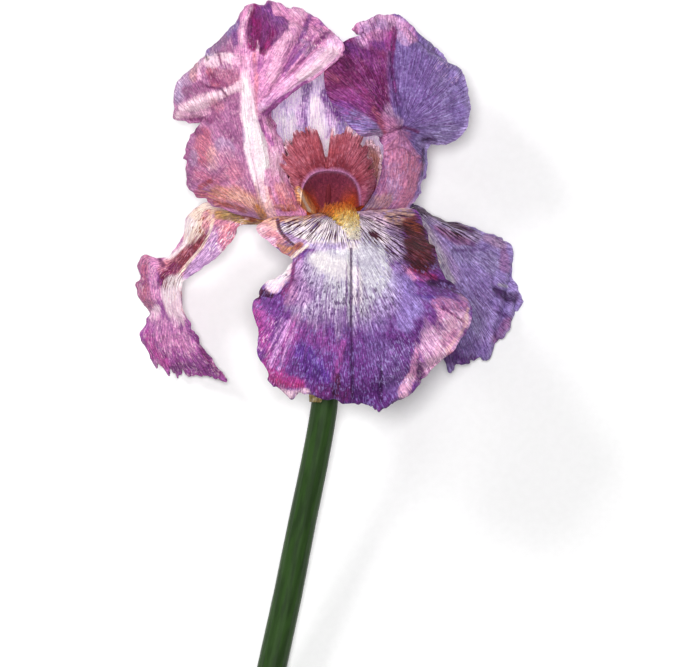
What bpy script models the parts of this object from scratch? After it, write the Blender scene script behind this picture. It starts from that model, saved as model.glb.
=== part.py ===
"""A cut bearded iris flower lying on its back on a surface.

Metres, +Z up. The face of the bloom looks up, and the stem runs towards -Y and
slopes down until its cut end meets the surface. The origin is below the middle
of the whole flower, on the surface.

Guide points are written as (across, down, height) in plan units: across and
down are measured over the face of the bloom, height is above the surface. One
plan unit is the bloom's width shared over its span in the plan.
"""

import math
from dataclasses import dataclass

import bmesh
import bpy
import numpy as np
from mathutils import Matrix, Vector

# Driving sizes in metres
BLOOM_WIDTH = 0.146
PETAL_THICKNESS = 0.0007
STYLE_THICKNESS = 0.0007
BRACT_THICKNESS = 0.0006
CLEARANCE = 0.0003
HAIR_LENGTH = 0.0034
HAIR_RADIUS = 0.00034
BEARD_CORE_RADIUS = 0.0006

# The plan's span, in plan units
PLAN_LEFT = 137
PLAN_RIGHT = 522
PLAN_TOP = 5
PLAN_BOTTOM = 803
UNIT = BLOOM_WIDTH / (PLAN_RIGHT - PLAN_LEFT)
PLAN_MIDDLE = ((PLAN_LEFT + PLAN_RIGHT) / 2, (PLAN_TOP + PLAN_BOTTOM) / 2)

# The heart, where every petal starts on the rim of the flower tube
HEART = (327, 230, 100)
FLOWER_TURN = 2
FALL_TURNS = {"front": FLOWER_TURN, "right": FLOWER_TURN + 120, "left": FLOWER_TURN - 120}
RIM_RADIUS = 8.5
CLAW_HALF_WIDTH = 3.0
GAP = CLEARANCE / UNIT
HALF_PETAL = PETAL_THICKNESS / UNIT / 2

# Ruffles: how fast they grow towards the edge, how much of them goes along x, y and z,
# and half the waves along the far end
RUFFLE_DEPTH = 1.7
RUFFLE_WAY = np.array([0.35, 0.35, 1])
END_WAVES = 1.3

# Columns across and rows along each blade
PETAL_GRID = (11, 29)
STYLE_GRID = (15, 11)
BRACT_GRID = (9, 10)

COLOURS = {
    "standard": (0.50, 0.22, 0.48, 1),
    "fall": (0.36, 0.14, 0.46, 1),
    "style": (0.36, 0.07, 0.10, 1),
    "beard": (0.85, 0.60, 0.16, 1),
    "stamen": (0.62, 0.48, 0.40, 1),
    "ovary": (0.22, 0.34, 0.12, 1),
    "bract": (0.38, 0.33, 0.16, 1),
    "stem": (0.06, 0.15, 0.07, 1),
}


def placed(points):
    """Guide points as x, y, z in plan units from the origin."""
    points = np.array(points, float)
    return np.stack(
        [points[..., 0] - PLAN_MIDDLE[0], PLAN_MIDDLE[1] - points[..., 1], points[..., 2]], -1
    )


HEART_AT = placed(HEART)


def about_heart(turn, out, side, up):
    """A point from the flower's axis: out along a turn about it, sideways, and up it."""
    angle = math.radians(turn)
    return HEART_AT + np.stack(
        [
            out * math.sin(angle) + side * math.cos(angle),
            up + 0 * out,
            out * math.cos(angle) - side * math.sin(angle),
        ],
        -1,
    )


def curve_through(points, t):
    """A smooth curve through evenly timed points, read at each t from 0 to 1."""
    points = np.asarray(points, float)
    spans = len(points) - 1
    first = 2 * points[:1] - points[1:2]
    last = 2 * points[-1:] - points[-2:-1]
    padded = np.concatenate([first, points, last])
    place = np.asarray(t, float) * spans
    index = np.clip(np.floor(place).astype(int), 0, spans - 1)
    share = (place - index).reshape(place.shape + (1,) * (points.ndim - 1))
    a, b, c, d = (padded[index + step] for step in range(4))
    return b + share / 2 * (
        c - a + share * (2 * a - 5 * b + 4 * c - d + share * (3 * (b - c) + d - a))
    )


def unit_vectors(vectors):
    lengths = np.linalg.norm(vectors, axis=-1, keepdims=True)
    return vectors / np.maximum(lengths, 1e-9)


def normals_of(grid):
    """The unit normal at each point of a grid (columns, rows, 3)."""
    return unit_vectors(np.cross(np.gradient(grid, axis=0), np.gradient(grid, axis=1)))


@dataclass
class Petal:
    """A blade's guides from its claw to its far edge. Left and right are seen from outside."""

    name: str
    kind: str
    turn: float
    left: list
    rib: list
    right: list
    left_lift: float = 0.0
    right_lift: float = 0.0
    ruffle: tuple = (0.0, 0.0)
    waves: tuple = (4.0, 4.0)
    phase: tuple = (0.0, 0.0)


STANDARD_LEFT = Petal(
    name="standard_left",
    kind="standard",
    turn=FLOWER_TURN - 60,
    left=[
        (300, 226, 110), (262, 219, 118), (225, 209, 116), (197, 197, 108), (187, 172, 102),
        (190, 146, 100), (198, 126, 104), (179, 108, 106), (180, 84, 102), (195, 62, 96),
        (214, 42, 94), (237, 23, 98),
    ],
    rib=[
        (304, 225, 113), (274, 219, 131), (264, 198, 146), (258, 168, 154), (253, 138, 158),
        (249, 110, 160), (247, 85, 158), (246, 65, 152), (245, 45, 142), (245, 30, 130),
        (246, 18, 118), (250, 5, 108),
    ],
    right=[
        (307, 223, 117), (291, 214, 129), (284, 195, 134), (277, 172, 138), (279, 152, 142),
        (262, 133, 150), (259, 114, 160), (290, 92, 170), (325, 70, 172), (343, 52, 160),
        (332, 33, 142), (301, 8, 124),
    ],
    left_lift=0.12,
    right_lift=0.10,
    ruffle=(8.0, 5.0),
    waves=(5.5, 5.5),
    phase=(0.2, 0.0),
)

STANDARD_RIGHT = Petal(
    name="standard_right",
    kind="standard",
    turn=FLOWER_TURN + 60,
    left=[
        (346, 225, 113), (359, 213, 124), (371, 197, 130), (380, 178, 134), (383, 152, 138),
        (378, 138, 143), (360, 136, 148), (342, 118, 150), (326, 92, 148), (327, 62, 138),
        (344, 43, 126), (356, 26, 112),
    ],
    rib=[
        (352, 226, 108), (380, 214, 117), (394, 196, 126), (400, 172, 133), (401, 148, 140),
        (397, 128, 146), (392, 105, 150), (390, 83, 150), (391, 61, 144), (394, 42, 132),
        (397, 27, 118), (394, 14, 106),
    ],
    right=[
        (354, 226, 101), (388, 217, 104), (413, 206, 110), (421, 188, 112), (426, 165, 114),
        (429, 146, 122), (446, 146, 132), (463, 132, 134), (471, 108, 130), (465, 80, 120),
        (449, 58, 110), (420, 34, 102),
    ],
    left_lift=0.08,
    right_lift=0.14,
    ruffle=(6.0, 6.5),
    waves=(5.0, 4.5),
    phase=(0.3, 0.1),
)

STANDARD_BACK = Petal(
    name="standard_back",
    kind="standard",
    turn=FLOWER_TURN + 180,
    left=[
        (335, 225, 83), (351, 220, 66), (371, 203, 46), (389, 165, 34), (398, 124, 30),
        (396, 88, 36), (384, 60, 48), (366, 40, 58), (346, 28, 68),
    ],
    rib=[
        (325, 225, 79), (324, 218, 58), (322, 195, 32), (321, 158, 10), (321, 122, -4),
        (321, 90, -5), (321, 62, 6), (322, 40, 26), (325, 25, 50),
    ],
    right=[
        (317, 225, 83), (303, 220, 66), (283, 203, 46), (264, 165, 34), (255, 124, 30),
        (257, 88, 36), (268, 60, 48), (284, 40, 58), (302, 28, 68),
    ],
    left_lift=-0.08,
    right_lift=-0.08,
    ruffle=(3.5, 3.5),
    waves=(4.0, 4.0),
    phase=(0.0, 0.5),
)

FALL_FRONT = Petal(
    name="fall_front",
    kind="fall",
    turn=FALL_TURNS["front"],
    left=[
        (315, 223, 115), (295, 219, 132), (274, 219, 150), (259, 227, 161), (277, 239, 178),
        (302, 250, 192), (287, 266, 200), (262, 288, 202), (251, 308, 204), (257, 330, 206),
        (256, 350, 206), (272, 386, 206),
    ],
    rib=[
        (329, 222, 117), (332, 216, 136), (337, 213, 158), (342, 217, 181), (347, 228, 202),
        (350, 246, 219), (353, 269, 230), (354, 295, 236), (355, 322, 238), (356, 350, 236),
        (357, 378, 231), (357, 405, 223),
    ],
    right=[
        (343, 222, 114), (366, 217, 131), (391, 212, 149), (413, 213, 161), (424, 228, 173),
        (432, 248, 184), (440, 270, 194), (456, 289, 200), (470, 308, 204), (464, 335, 208),
        (444, 360, 211), (410, 388, 214),
    ],
    left_lift=0.10,
    right_lift=0.10,
    ruffle=(6.0, 6.5),
    waves=(5.5, 4.5),
    phase=(0.1, 0.3),
)

FALL_RIGHT = Petal(
    name="fall_right",
    kind="fall",
    turn=FALL_TURNS["right"],
    left=[
        (352, 224, 94), (385, 222, 92), (414, 236, 92), (428, 262, 88), (434, 292, 82),
        (438, 320, 74), (443, 347, 64), (452, 370, 52),
    ],
    rib=[
        (350, 221, 87), (383, 212, 76), (415, 213, 64), (445, 227, 54), (467, 254, 43),
        (479, 288, 33), (485, 322, 25), (484, 354, 22),
    ],
    right=[
        (348, 220, 81), (379, 209, 66), (412, 206, 48), (447, 217, 32), (484, 232, 16),
        (506, 248, 3), (517, 275, -3), (521, 304, -1),
    ],
    left_lift=0.05,
    right_lift=0.08,
    ruffle=(4.0, 5.0),
    waves=(3.0, 4.0),
    phase=(0.0, 0.4),
)

FALL_LEFT = Petal(
    name="fall_left",
    kind="fall",
    turn=FALL_TURNS["left"],
    left=[
        (303, 219, 86), (270, 211, 78), (232, 207, 70), (206, 205, 62), (188, 217, 54),
        (184, 240, 46), (168, 259, 38), (143, 257, 28), (139, 284, 18), (157, 312, 12),
        (141, 334, 2), (150, 360, -2),
    ],
    rib=[
        (300, 220, 93), (268, 214, 91), (236, 211, 87), (208, 212, 82), (197, 229, 76),
        (186, 250, 68), (175, 268, 60), (167, 283, 52), (165, 298, 45), (168, 315, 38),
        (171, 345, 28), (180, 375, 18),
    ],
    right=[
        (302, 227, 101), (268, 225, 102), (240, 225, 101), (233, 239, 97), (216, 257, 91),
        (199, 270, 84), (183, 281, 75), (182, 296, 69), (186, 316, 63), (193, 332, 56),
        (204, 350, 48), (224, 378, 40),
    ],
    left_lift=0.06,
    right_lift=0.06,
    ruffle=(3.0, 2.0),
    waves=(5.0, 3.0),
    phase=(0.0, 0.2),
)

PETALS = [STANDARD_LEFT, STANDARD_RIGHT, STANDARD_BACK, FALL_FRONT, FALL_RIGHT, FALL_LEFT]
FALLS = {"front": FALL_FRONT, "right": FALL_RIGHT, "left": FALL_LEFT}


def between(one, other, lift):
    """The guide midway between two, raised by a share of their distance."""
    middle = (one + other) / 2
    middle[:, 2] += lift * np.linalg.norm(one - other, axis=1)
    return middle


def ruffle_height(petal, u, v):
    """How far the ruffles lift the blade: they grow from the rib out to the free edges."""
    right_share = u
    left_share = 1 - u
    amplitude = left_share * petal.ruffle[0] + right_share * petal.ruffle[1]
    turns = left_share * (petal.waves[0] * v + petal.phase[0])
    turns += right_share * (petal.waves[1] * v + petal.phase[1])
    near_side = np.abs(2 * u - 1) ** RUFFLE_DEPTH
    near_end = np.clip((v - 0.72) / 0.28, 0, 1) ** 2
    turns += END_WAVES * (2 * u - 1) * near_end
    grown = np.clip((v - 0.15) / 0.25, 0, 1)
    edge = 1 - (1 - near_side) * (1 - near_end)
    return amplitude * grown * edge * np.sin(2 * math.pi * turns)


def petal_grid(petal, across, along):
    """The blade's middle surface, read at every pair of across and along."""
    claw = [
        about_heart(petal.turn, RIM_RADIUS, side, 0)
        for side in (-CLAW_HALF_WIDTH, 0, CLAW_HALF_WIDTH)
    ]
    left, rib, right = (
        np.vstack([start, placed(guide)])
        for start, guide in zip(claw, (petal.left, petal.rib, petal.right))
    )
    guides = np.stack(
        [
            left,
            between(left, rib, petal.left_lift),
            rib,
            between(rib, right, petal.right_lift),
            right,
        ],
        1,
    )
    smooth = curve_through(curve_through(guides, along).transpose(1, 0, 2), across)
    u, v = np.meshgrid(across, along, indexing="ij")
    ruffled = smooth + ruffle_height(petal, u, v)[..., None] * normals_of(smooth) * RUFFLE_WAY
    ruffled[..., 2] = np.maximum(ruffled[..., 2], HALF_PETAL)
    return ruffled


# A style arm's stations: out from the axis, height of its feet, half width, arch height
STYLE_STATIONS = [(3.2, 0, 1.6, 0.8), (12, 11, 7, 6), (30, 18, 18, 20), (56, 24, 27, 33)]
LIP_AT = 0.55
# How far the crest reaches past the arch, by the angle round it
CREST_ANGLES = [-90, -62, -50, -42, -22, -10, 0, 10, 22, 40, 58, 72, 90]
CREST_REACH = [2, 7, 22, 31, 40, 43, 13, 42, 44, 36, 30, 18, 4]
CREST_LEAN = -8


def style_grid(turn, size, across, along):
    """A style arm: a tunnel over the haft whose end stands up as a two-lobed crest."""
    u, v = np.meshgrid(across, along, indexing="ij")
    degrees = 180 * (u - 0.5)
    angle = np.radians(degrees)
    stations = curve_through(STYLE_STATIONS, np.minimum(v / LIP_AT, 1))
    out, foot, half_width, arch = (stations[..., k] for k in range(4))
    crest = np.clip((v - LIP_AT) / (1 - LIP_AT), 0, 1)
    reach = crest * np.interp(degrees, CREST_ANGLES, CREST_REACH)
    grown = 1 + (size - 1) * np.clip(1.5 * v / LIP_AT, 0, 1)
    out = out * grown + CREST_LEAN * crest**2 + 3 * np.sin(math.pi * crest)
    side = (half_width + reach) * np.sin(angle) * grown
    up = foot + ((arch + reach) * np.cos(angle)) * grown
    return about_heart(turn, out, side, up)


def new_collection(name):
    collection = bpy.data.collections.new(name)
    bpy.context.scene.collection.children.link(collection)
    return collection


def material(kind, roughness=0.55):
    """The plain material of one kind of piece, made once."""
    found = bpy.data.materials.get(kind)
    if found:
        return found
    made = bpy.data.materials.new(kind)
    made.use_nodes = True
    shader = made.node_tree.nodes["Principled BSDF"]
    shader.inputs["Base Color"].default_value = COLOURS[kind]
    shader.inputs["Roughness"].default_value = roughness
    made.diffuse_color = COLOURS[kind]
    return made


def add_object(name, mesh, kind, collection):
    obj = bpy.data.objects.new(name, mesh)
    mesh.materials.clear()
    mesh.materials.append(material(kind))
    mesh.shade_smooth()
    collection.objects.link(obj)
    return obj


def sheet(name, grid, thickness, kind, collection):
    """A blade from a grid of middle points: split into triangles, then thickened both ways."""
    columns, rows = grid.shape[:2]
    form = bmesh.new()
    bmesh.ops.create_grid(form, x_segments=columns - 1, y_segments=rows - 1, size=0.5)
    for vertex in form.verts:
        column = round((vertex.co.x + 0.5) * (columns - 1))
        row = round((vertex.co.y + 0.5) * (rows - 1))
        vertex.co = Vector(grid[column, row] * UNIT)
    bmesh.ops.triangulate(form, faces=form.faces[:], quad_method="SHORT_EDGE")
    mesh = bpy.data.meshes.new(name)
    form.to_mesh(mesh)
    form.free()
    obj = add_object(name, mesh, kind, collection)
    solidify = obj.modifiers.new("Thickness", "SOLIDIFY")
    solidify.thickness = thickness
    solidify.offset = 0
    return obj


def evaluated_mesh(obj):
    graph = bpy.context.evaluated_depsgraph_get()
    return bpy.data.meshes.new_from_object(obj.evaluated_get(graph))


def tube(name, points, radii, kind, collection, resolution=3):
    """A round bar along points in plan units, as a mesh with its caps welded on."""
    curve = bpy.data.curves.new(name, "CURVE")
    curve.dimensions = "3D"
    curve.bevel_depth = UNIT
    curve.bevel_resolution = resolution
    curve.use_fill_caps = True
    spline = curve.splines.new("POLY")
    spline.points.add(len(points) - 1)
    for target, point, radius in zip(spline.points, points, radii):
        target.co = (*(point * UNIT), 1)
        target.radius = radius
    guide = bpy.data.objects.new(name + "_route", curve)
    collection.objects.link(guide)
    bpy.context.view_layer.update()
    mesh = evaluated_mesh(guide)
    bpy.data.objects.remove(guide)
    form = bmesh.new()
    form.from_mesh(mesh)
    bmesh.ops.remove_doubles(form, verts=form.verts[:], dist=1e-6)
    bmesh.ops.recalc_face_normals(form, faces=form.faces[:])
    form.to_mesh(mesh)
    form.free()
    return add_object(name, mesh, kind, collection)


# The stem's route and radius from the foot of the ovary to its cut end
STEM_ROUTE = [
    (327, 352, 100), (325, 400, 94), (316, 455, 82), (301, 528, 64), (287, 598, 48),
    (272, 667, 34), (258, 735, 22), (246, 800, 15),
]
STEM_RADII = [11.5, 13, 13.4, 13.8, 14.2, 14.5, 14.8, 15]
STEM_RINGS = 22


def build_stem(collection):
    along = np.linspace(0, 1, STEM_RINGS)
    points = curve_through(placed(STEM_ROUTE), along)
    radii = curve_through(np.array(STEM_RADII)[:, None], along)[:, 0]
    stem = tube("stem", points, radii, "stem", collection, resolution=4)
    for vertex in stem.data.vertices:
        vertex.co.z = max(vertex.co.z, 0)
    return stem


# The ovary and flower tube, turned about their axis: distance down it and radius
OVARY_PROFILE = [
    (0, 10.6), (4, 10.4), (14, 8.6), (32, 7.6), (48, 8.2), (60, 11.2), (76, 13.2),
    (96, 13.4), (110, 12.2), (117, 10.5),
]
OVARY_FOOT = (327, 350, 100)
TUBE_SIDES = 14


def build_ovary(collection):
    """Turned profile, laid along the line from the heart to the top of the stem."""
    top = HEART_AT - np.array([0, 1.4 * GAP, 0])
    foot = placed(OVARY_FOOT)
    length = np.linalg.norm(foot - top)
    scale = length / OVARY_PROFILE[-1][0]
    outline = [(0, 0)] + [(radius, -down * scale) for down, radius in OVARY_PROFILE]
    outline.append((0, -length))
    mesh = bpy.data.meshes.new("ovary")
    mesh.from_pydata(
        [(radius * UNIT, 0, height * UNIT) for radius, height in outline],
        [(index, index + 1) for index in range(len(outline) - 1)],
        [],
    )
    obj = add_object("ovary", mesh, "ovary", collection)
    screw = obj.modifiers.new("Turned", "SCREW")
    screw.steps = TUBE_SIDES
    screw.render_steps = TUBE_SIDES
    screw.use_merge_vertices = True
    screw.merge_threshold = 0.0001
    obj.location = Vector(top * UNIT)
    obj.rotation_mode = "QUATERNION"
    obj.rotation_quaternion = Vector(top - foot).to_track_quat("Z", "Y")
    return obj


# A bract wraps part of the ovary: distance down from the heart, radius and half its spread
BRACT_OUTER = [(172, 15.0, 62), (150, 17.4, 78), (120, 19.6, 92), (90, 19.2, 80), (66, 16.6, 50), (48, 14.6, 8)]
BRACT_INNER = [(160, 14.4, 60), (140, 14.6, 74), (115, 16.6, 84), (85, 16.2, 72), (58, 13.4, 44), (40, 12.0, 8)]
BRACT_TURNS = {"outer": -75, "inner": 105}


def axis_at(down):
    """The point of the flower's axis, or of the stem, at a distance below the heart."""
    line = np.vstack([[HEART_AT], placed(STEM_ROUTE[:3])])
    distance = HEART_AT[1] - line[:, 1]
    return np.stack([np.interp(down, distance, line[:, k]) for k in range(3)], -1)


def build_bract(side, profile, collection):
    columns, rows = BRACT_GRID
    stations = curve_through(profile, np.linspace(0, 1, rows))
    down, radius, spread = stations.T
    angle = np.radians(BRACT_TURNS[side] + np.linspace(-1, 1, columns)[:, None] * spread)
    centre = axis_at(down)[None]
    ring = np.stack([np.sin(angle), 0 * angle, np.cos(angle)], -1)
    grid = centre + ring * radius[None, :, None]
    return sheet("bract_" + side, grid, BRACT_THICKNESS, "bract", collection)


# A stamen's route in its own plane: out from the axis, up it, and radius
STAMEN_ROUTE = [
    (6.0, 0, 0.9), (9, 7, 0.9), (15, 14, 0.9), (21, 21, 0.9), (26, 26, 1.9), (34, 34, 2.2),
    (42, 41, 1.9), (47, 45, 0.8),
]
STAMEN_RINGS = 16


def build_stamen(side, turn, collection):
    stations = curve_through(STAMEN_ROUTE, np.linspace(0, 1, STAMEN_RINGS))
    out, up, radius = stations.T
    points = about_heart(turn, out, 0 * out, up)
    return tube("stamen_" + side, points, radius, "stamen", collection, resolution=2)


# Where each beard starts and ends along its fall, and how many hairs it has
BEARD_SPAN = {"front": (0.19, 0.47), "right": (0.13, 0.34), "left": (0.10, 0.27)}
BEARD_ACROSS = {"front": 0.5, "right": 0.5, "left": 0.5}
BEARD_FACES = {"front": (0, 1, 1), "right": (0.4, 1, -0.4), "left": (-0.6, 1, -0.2)}
BEARD_ROWS = {"front": 22, "right": 14, "left": 14}
HAIRS_A_ROW = {"front": 4, "right": 2, "left": 2}
BEARD_SEED = 5


def fall_line(petal, across, along, faces):
    """Points on a fall's middle surface along one column, with the normals of its upper face."""
    step = 0.01
    columns = np.array([across - step, across, across + step])
    grid = petal_grid(petal, columns, along)
    normals = normals_of(grid)[1]
    normals *= np.sign(normals @ np.array(faces, float))[:, None]
    return grid[1], normals


def cone_between(name, root, tip, radius, collection):
    """A four-sided hair from its root to its tip, in metres."""
    direction = Vector(tip - root)
    place = Matrix.Translation(Vector((root + tip) / 2))
    place @= direction.to_track_quat("Z", "Y").to_matrix().to_4x4()
    form = bmesh.new()
    bmesh.ops.create_cone(
        form,
        cap_ends=True,
        segments=4,
        radius1=radius,
        radius2=radius * 0.25,
        depth=direction.length,
        matrix=place,
    )
    mesh = bpy.data.meshes.new(name)
    form.to_mesh(mesh)
    form.free()
    return add_object(name, mesh, "beard", collection)


def fuse(obj, collection):
    """Joins a collection's objects to obj as one body and removes them."""
    union = obj.modifiers.new("Joined", "BOOLEAN")
    union.operation = "UNION"
    union.operand_type = "COLLECTION"
    union.collection = collection
    union.solver = "MANIFOLD"
    bpy.context.view_layer.update()
    joined = evaluated_mesh(obj)
    obj.modifiers.remove(union)
    obj.data = joined
    for helper in list(collection.objects):
        bpy.data.objects.remove(helper)
    bpy.data.collections.remove(collection)


def build_beard(side, collection):
    """A slim core along the haft with rows of hairs leaning out of it."""
    random = np.random.default_rng(BEARD_SEED)
    start, end = BEARD_SPAN[side]
    rows = BEARD_ROWS[side]
    hairs_a_row = HAIRS_A_ROW[side]
    along = np.linspace(start, end, rows)
    line, normals = fall_line(FALLS[side], BEARD_ACROSS[side], along, BEARD_FACES[side])
    core_radius = BEARD_CORE_RADIUS / UNIT
    line = line + normals * (HALF_PETAL + GAP + core_radius + 0.3)
    from_end = np.minimum(np.arange(rows), np.arange(rows)[::-1])
    taper = np.clip(from_end / 3 + 0.5, 0, 1)
    beard = tube("beard_" + side, line, core_radius * taper, "beard", collection, resolution=1)
    hairs = new_collection("hairs_" + side)
    ahead = unit_vectors(np.gradient(line, axis=0))
    aside = np.cross(ahead, normals)
    for row in range(1, rows - 1):
        for step in range(hairs_a_row):
            lean = (step - (hairs_a_row - 1) / 2) * 0.8 + random.uniform(-0.25, 0.25)
            way = normals[row] + aside[row] * lean + ahead[row] * random.uniform(-0.2, 0.5)
            way = unit_vectors(way)
            length = HAIR_LENGTH * random.uniform(0.75, 1.1) * (0.6 + 0.4 * taper[row])
            root = line[row] * UNIT - way * core_radius * UNIT * 0.4
            cone_between("hair", root, root + way * length, HAIR_RADIUS, hairs)
    fuse(beard, hairs)
    return beard


def main():
    for obj in list(bpy.data.objects):
        bpy.data.objects.remove(obj)
    iris = new_collection("bearded_iris_flower")
    across = np.linspace(0, 1, PETAL_GRID[0])
    along = np.linspace(0, 1, PETAL_GRID[1])
    for petal in PETALS:
        grid = petal_grid(petal, across, along)
        sheet(petal.name, grid, PETAL_THICKNESS, petal.kind, iris)
    style_across = np.linspace(0, 1, STYLE_GRID[0])
    style_along = np.linspace(0, 1, STYLE_GRID[1])
    for side, turn in FALL_TURNS.items():
        size = 1.0 if side == "front" else 0.85
        grid = style_grid(turn, size, style_across, style_along)
        sheet("style_" + side, grid, STYLE_THICKNESS, "style", iris)
        build_stamen(side, turn, iris)
        build_beard(side, iris)
    build_ovary(iris)
    build_bract("outer", BRACT_OUTER, iris)
    build_bract("inner", BRACT_INNER, iris)
    build_stem(iris)


main()
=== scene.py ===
"""The looks of a cut bearded iris flower that lies on its back.

The petals, style arms and other pieces are read from guides like those of the CAD
model, with some margins moved, finer grids, lacy edges, pleats and painted markings.
Guide points and paint strokes are written as (across, down, height) and
(across, down, half width) in plan units. Across and down are measured over the
face of the bloom, and one plan unit is the bloom's width shared over its span.
"""

import itertools
import math
from dataclasses import dataclass

import bmesh
import bpy
import numpy as np
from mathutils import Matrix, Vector
from mathutils.kdtree import KDTree


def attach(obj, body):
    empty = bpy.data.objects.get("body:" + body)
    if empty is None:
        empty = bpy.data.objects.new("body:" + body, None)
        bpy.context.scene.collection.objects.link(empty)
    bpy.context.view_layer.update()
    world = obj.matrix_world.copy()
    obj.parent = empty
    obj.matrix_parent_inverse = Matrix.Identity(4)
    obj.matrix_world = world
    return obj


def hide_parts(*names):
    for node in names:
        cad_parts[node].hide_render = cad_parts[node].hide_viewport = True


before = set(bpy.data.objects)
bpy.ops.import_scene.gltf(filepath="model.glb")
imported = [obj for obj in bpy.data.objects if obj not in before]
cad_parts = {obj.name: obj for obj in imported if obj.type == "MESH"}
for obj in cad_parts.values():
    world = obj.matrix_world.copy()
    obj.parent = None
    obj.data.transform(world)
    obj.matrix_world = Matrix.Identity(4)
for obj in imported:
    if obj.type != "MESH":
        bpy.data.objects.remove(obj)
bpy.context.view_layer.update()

# Driving sizes in metres
BLOOM_WIDTH = 0.146
PETAL_THICKNESS = 0.0006
STYLE_THICKNESS = 0.0006
BRACT_THICKNESS = 0.0005
CLEARANCE = 0.0003

# The plan's span, in plan units
PLAN_LEFT = 137
PLAN_RIGHT = 522
PLAN_TOP = 5
PLAN_BOTTOM = 803
UNIT = BLOOM_WIDTH / (PLAN_RIGHT - PLAN_LEFT)
PLAN_MIDDLE = ((PLAN_LEFT + PLAN_RIGHT) / 2, (PLAN_TOP + PLAN_BOTTOM) / 2)

# The heart, where every petal starts on the rim of the flower tube
HEART = (327, 230, 100)
FLOWER_TURN = 2
FALL_TURNS = {"front": FLOWER_TURN, "right": FLOWER_TURN + 120, "left": FLOWER_TURN - 120}
RIM_RADIUS = 8.5
CLAW_HALF_WIDTH = 3.0
GAP = CLEARANCE / UNIT
HALF_PETAL = 0.0007 / UNIT / 2

# How far apart a petal's guide points lie and how long its far edge is, about
GUIDE_STEP = 22
FAR_EDGE = 150

# Ruffles, as on the CAD petals
RUFFLE_DEPTH = 1.7
RUFFLE_WAY = np.array([0.35, 0.35, 1])
RUFFLE_FROM = 0.15
RUFFLE_RISE = 0.25
END_WAVES = 1.3
END_FROM = 0.72

# The sizes of the lace, frills, crinkles and folds
LACE_SIZES = (9, 4)
FRILL_SIZES = (11, 5)
FRILL_BAND = 17
CRINKLE_SIZES = (6, 3)
FOLD_SIZE = 15
# Pleats along the veins: depth, how many over the blade and length
PLEATS = ((1, 3, 70), (0.6, 8, 45), (0.35, 17, 30))

PALETTE = {
    "snow": "fdf6f7",
    "cream": "f9ead6",
    "blush": "fbdbe8",
    "shell pink": "f6c3de",
    "orchid": "e39fcb",
    "rose": "d98a9e",
    "old rose": "b8677f",
    "heather": "965a86",
    "mauve": "b57ba6",
    "rosy mauve": "bf7d99",
    "dusty lilac": "b394b8",
    "lilac": "c7a5d2",
    "lilac grey": "bfb2d2",
    "cool white": "c9ccd6",
    "shade lavender": "8a7fb0",
    "lavender": "7b66a2",
    "blue lavender": "8676b2",
    "pale lavender": "a19bc6",
    "violet": "75418e",
    "deep violet": "57296f",
    "night violet": "3c1b48",
    "magenta": "aa58a6",
    "hot magenta": "b43f8c",
    "wine": "7f3269",
    "deep plum": "611c50",
    "plum": "7a2c68",
    "brick": "a24a55",
    "deep brick": "7f303f",
    "pink brick": "c67f8c",
    "oxblood": "6d1e2c",
    "orange": "cf6a1e",
    "amber": "dd9636",
    "gold": "f0c052",
    "apricot": "f2b172",
    "terracotta": "c98878",
    "rust": "9c5238",
    "maroon": "451826",
    "dark maroon": "33101c",
    "olive": "a58a52",
    "khaki": "b9a266",
    "tan": "c0a08a",
    "leaf green": "24420f",
    "deep green": "193208",
    "blue green": "305218",
    "straw": "a99358",
    "bract brown": "84604c",
    "moonlight": "efe2fc",
    "bright orchid": "ebb6f2",
    "periwinkle": "9d8bcf",
    "salmon": "e2977c",
    "primrose": "f9df9c",
    "grape": "6d2f72",
    "mulberry": "8a1f66",
    "raspberry": "a8305e",
    "pink lilac": "e8bce2",
    "peach": "f5cdb8",
    "burgundy": "4c161a",
    "dark brown": "5b2a22",
    "smoky violet": "4a2c58",
    "blue violet": "5a3a9c",
    "bloom lavender": "b6a6e0",
    "copper": "a8401c",
    "garnet": "852c42",
    "pearl": "e2e2e2",
    "pith": "c3c994",
}


def linear(name):
    """A palette colour's red, green and blue as the shaders need them."""
    code = PALETTE[name]
    channels = np.array([int(code[step:step + 2], 16) for step in (0, 2, 4)]) / 255
    return np.where(channels < 0.04045, channels / 12.92, ((channels + 0.055) / 1.055) ** 2.4)


def placed(points):
    """Guide points as x, y, z in plan units from the origin."""
    points = np.array(points, float)
    return np.stack(
        [points[..., 0] - PLAN_MIDDLE[0], PLAN_MIDDLE[1] - points[..., 1], points[..., 2]], -1
    )


HEART_AT = placed(HEART)


def about_heart(turn, out, side, up):
    """A point from the flower's axis: out along a turn about it, sideways, and up it."""
    angle = math.radians(turn)
    return HEART_AT + np.stack(
        [
            out * math.sin(angle) + side * math.cos(angle),
            up + 0 * out,
            out * math.cos(angle) - side * math.sin(angle),
        ],
        -1,
    )


def cubic(a, b, c, d, share):
    """The smooth span between b and c of a curve through four points, straight on past it."""
    inside = np.clip(share, 0, 1)
    past = (share - inside) * np.where(share < 0, c - a, d - b) / 2
    return past + b + inside / 2 * (
        c - a + inside * (2 * a - 5 * b + 4 * c - d + inside * (3 * (b - c) + d - a))
    )


def curve_through(points, t):
    """A smooth curve through evenly timed points, read at each t from 0 to 1."""
    points = np.asarray(points, float)
    spans = len(points) - 1
    first = 2 * points[:1] - points[1:2]
    last = 2 * points[-1:] - points[-2:-1]
    padded = np.concatenate([first, points, last])
    place = np.asarray(t, float) * spans
    index = np.clip(np.floor(place).astype(int), 0, spans - 1)
    share = (place - index).reshape(place.shape + (1,) * (points.ndim - 1))
    return cubic(*(padded[index + step] for step in range(4)), share)


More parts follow.
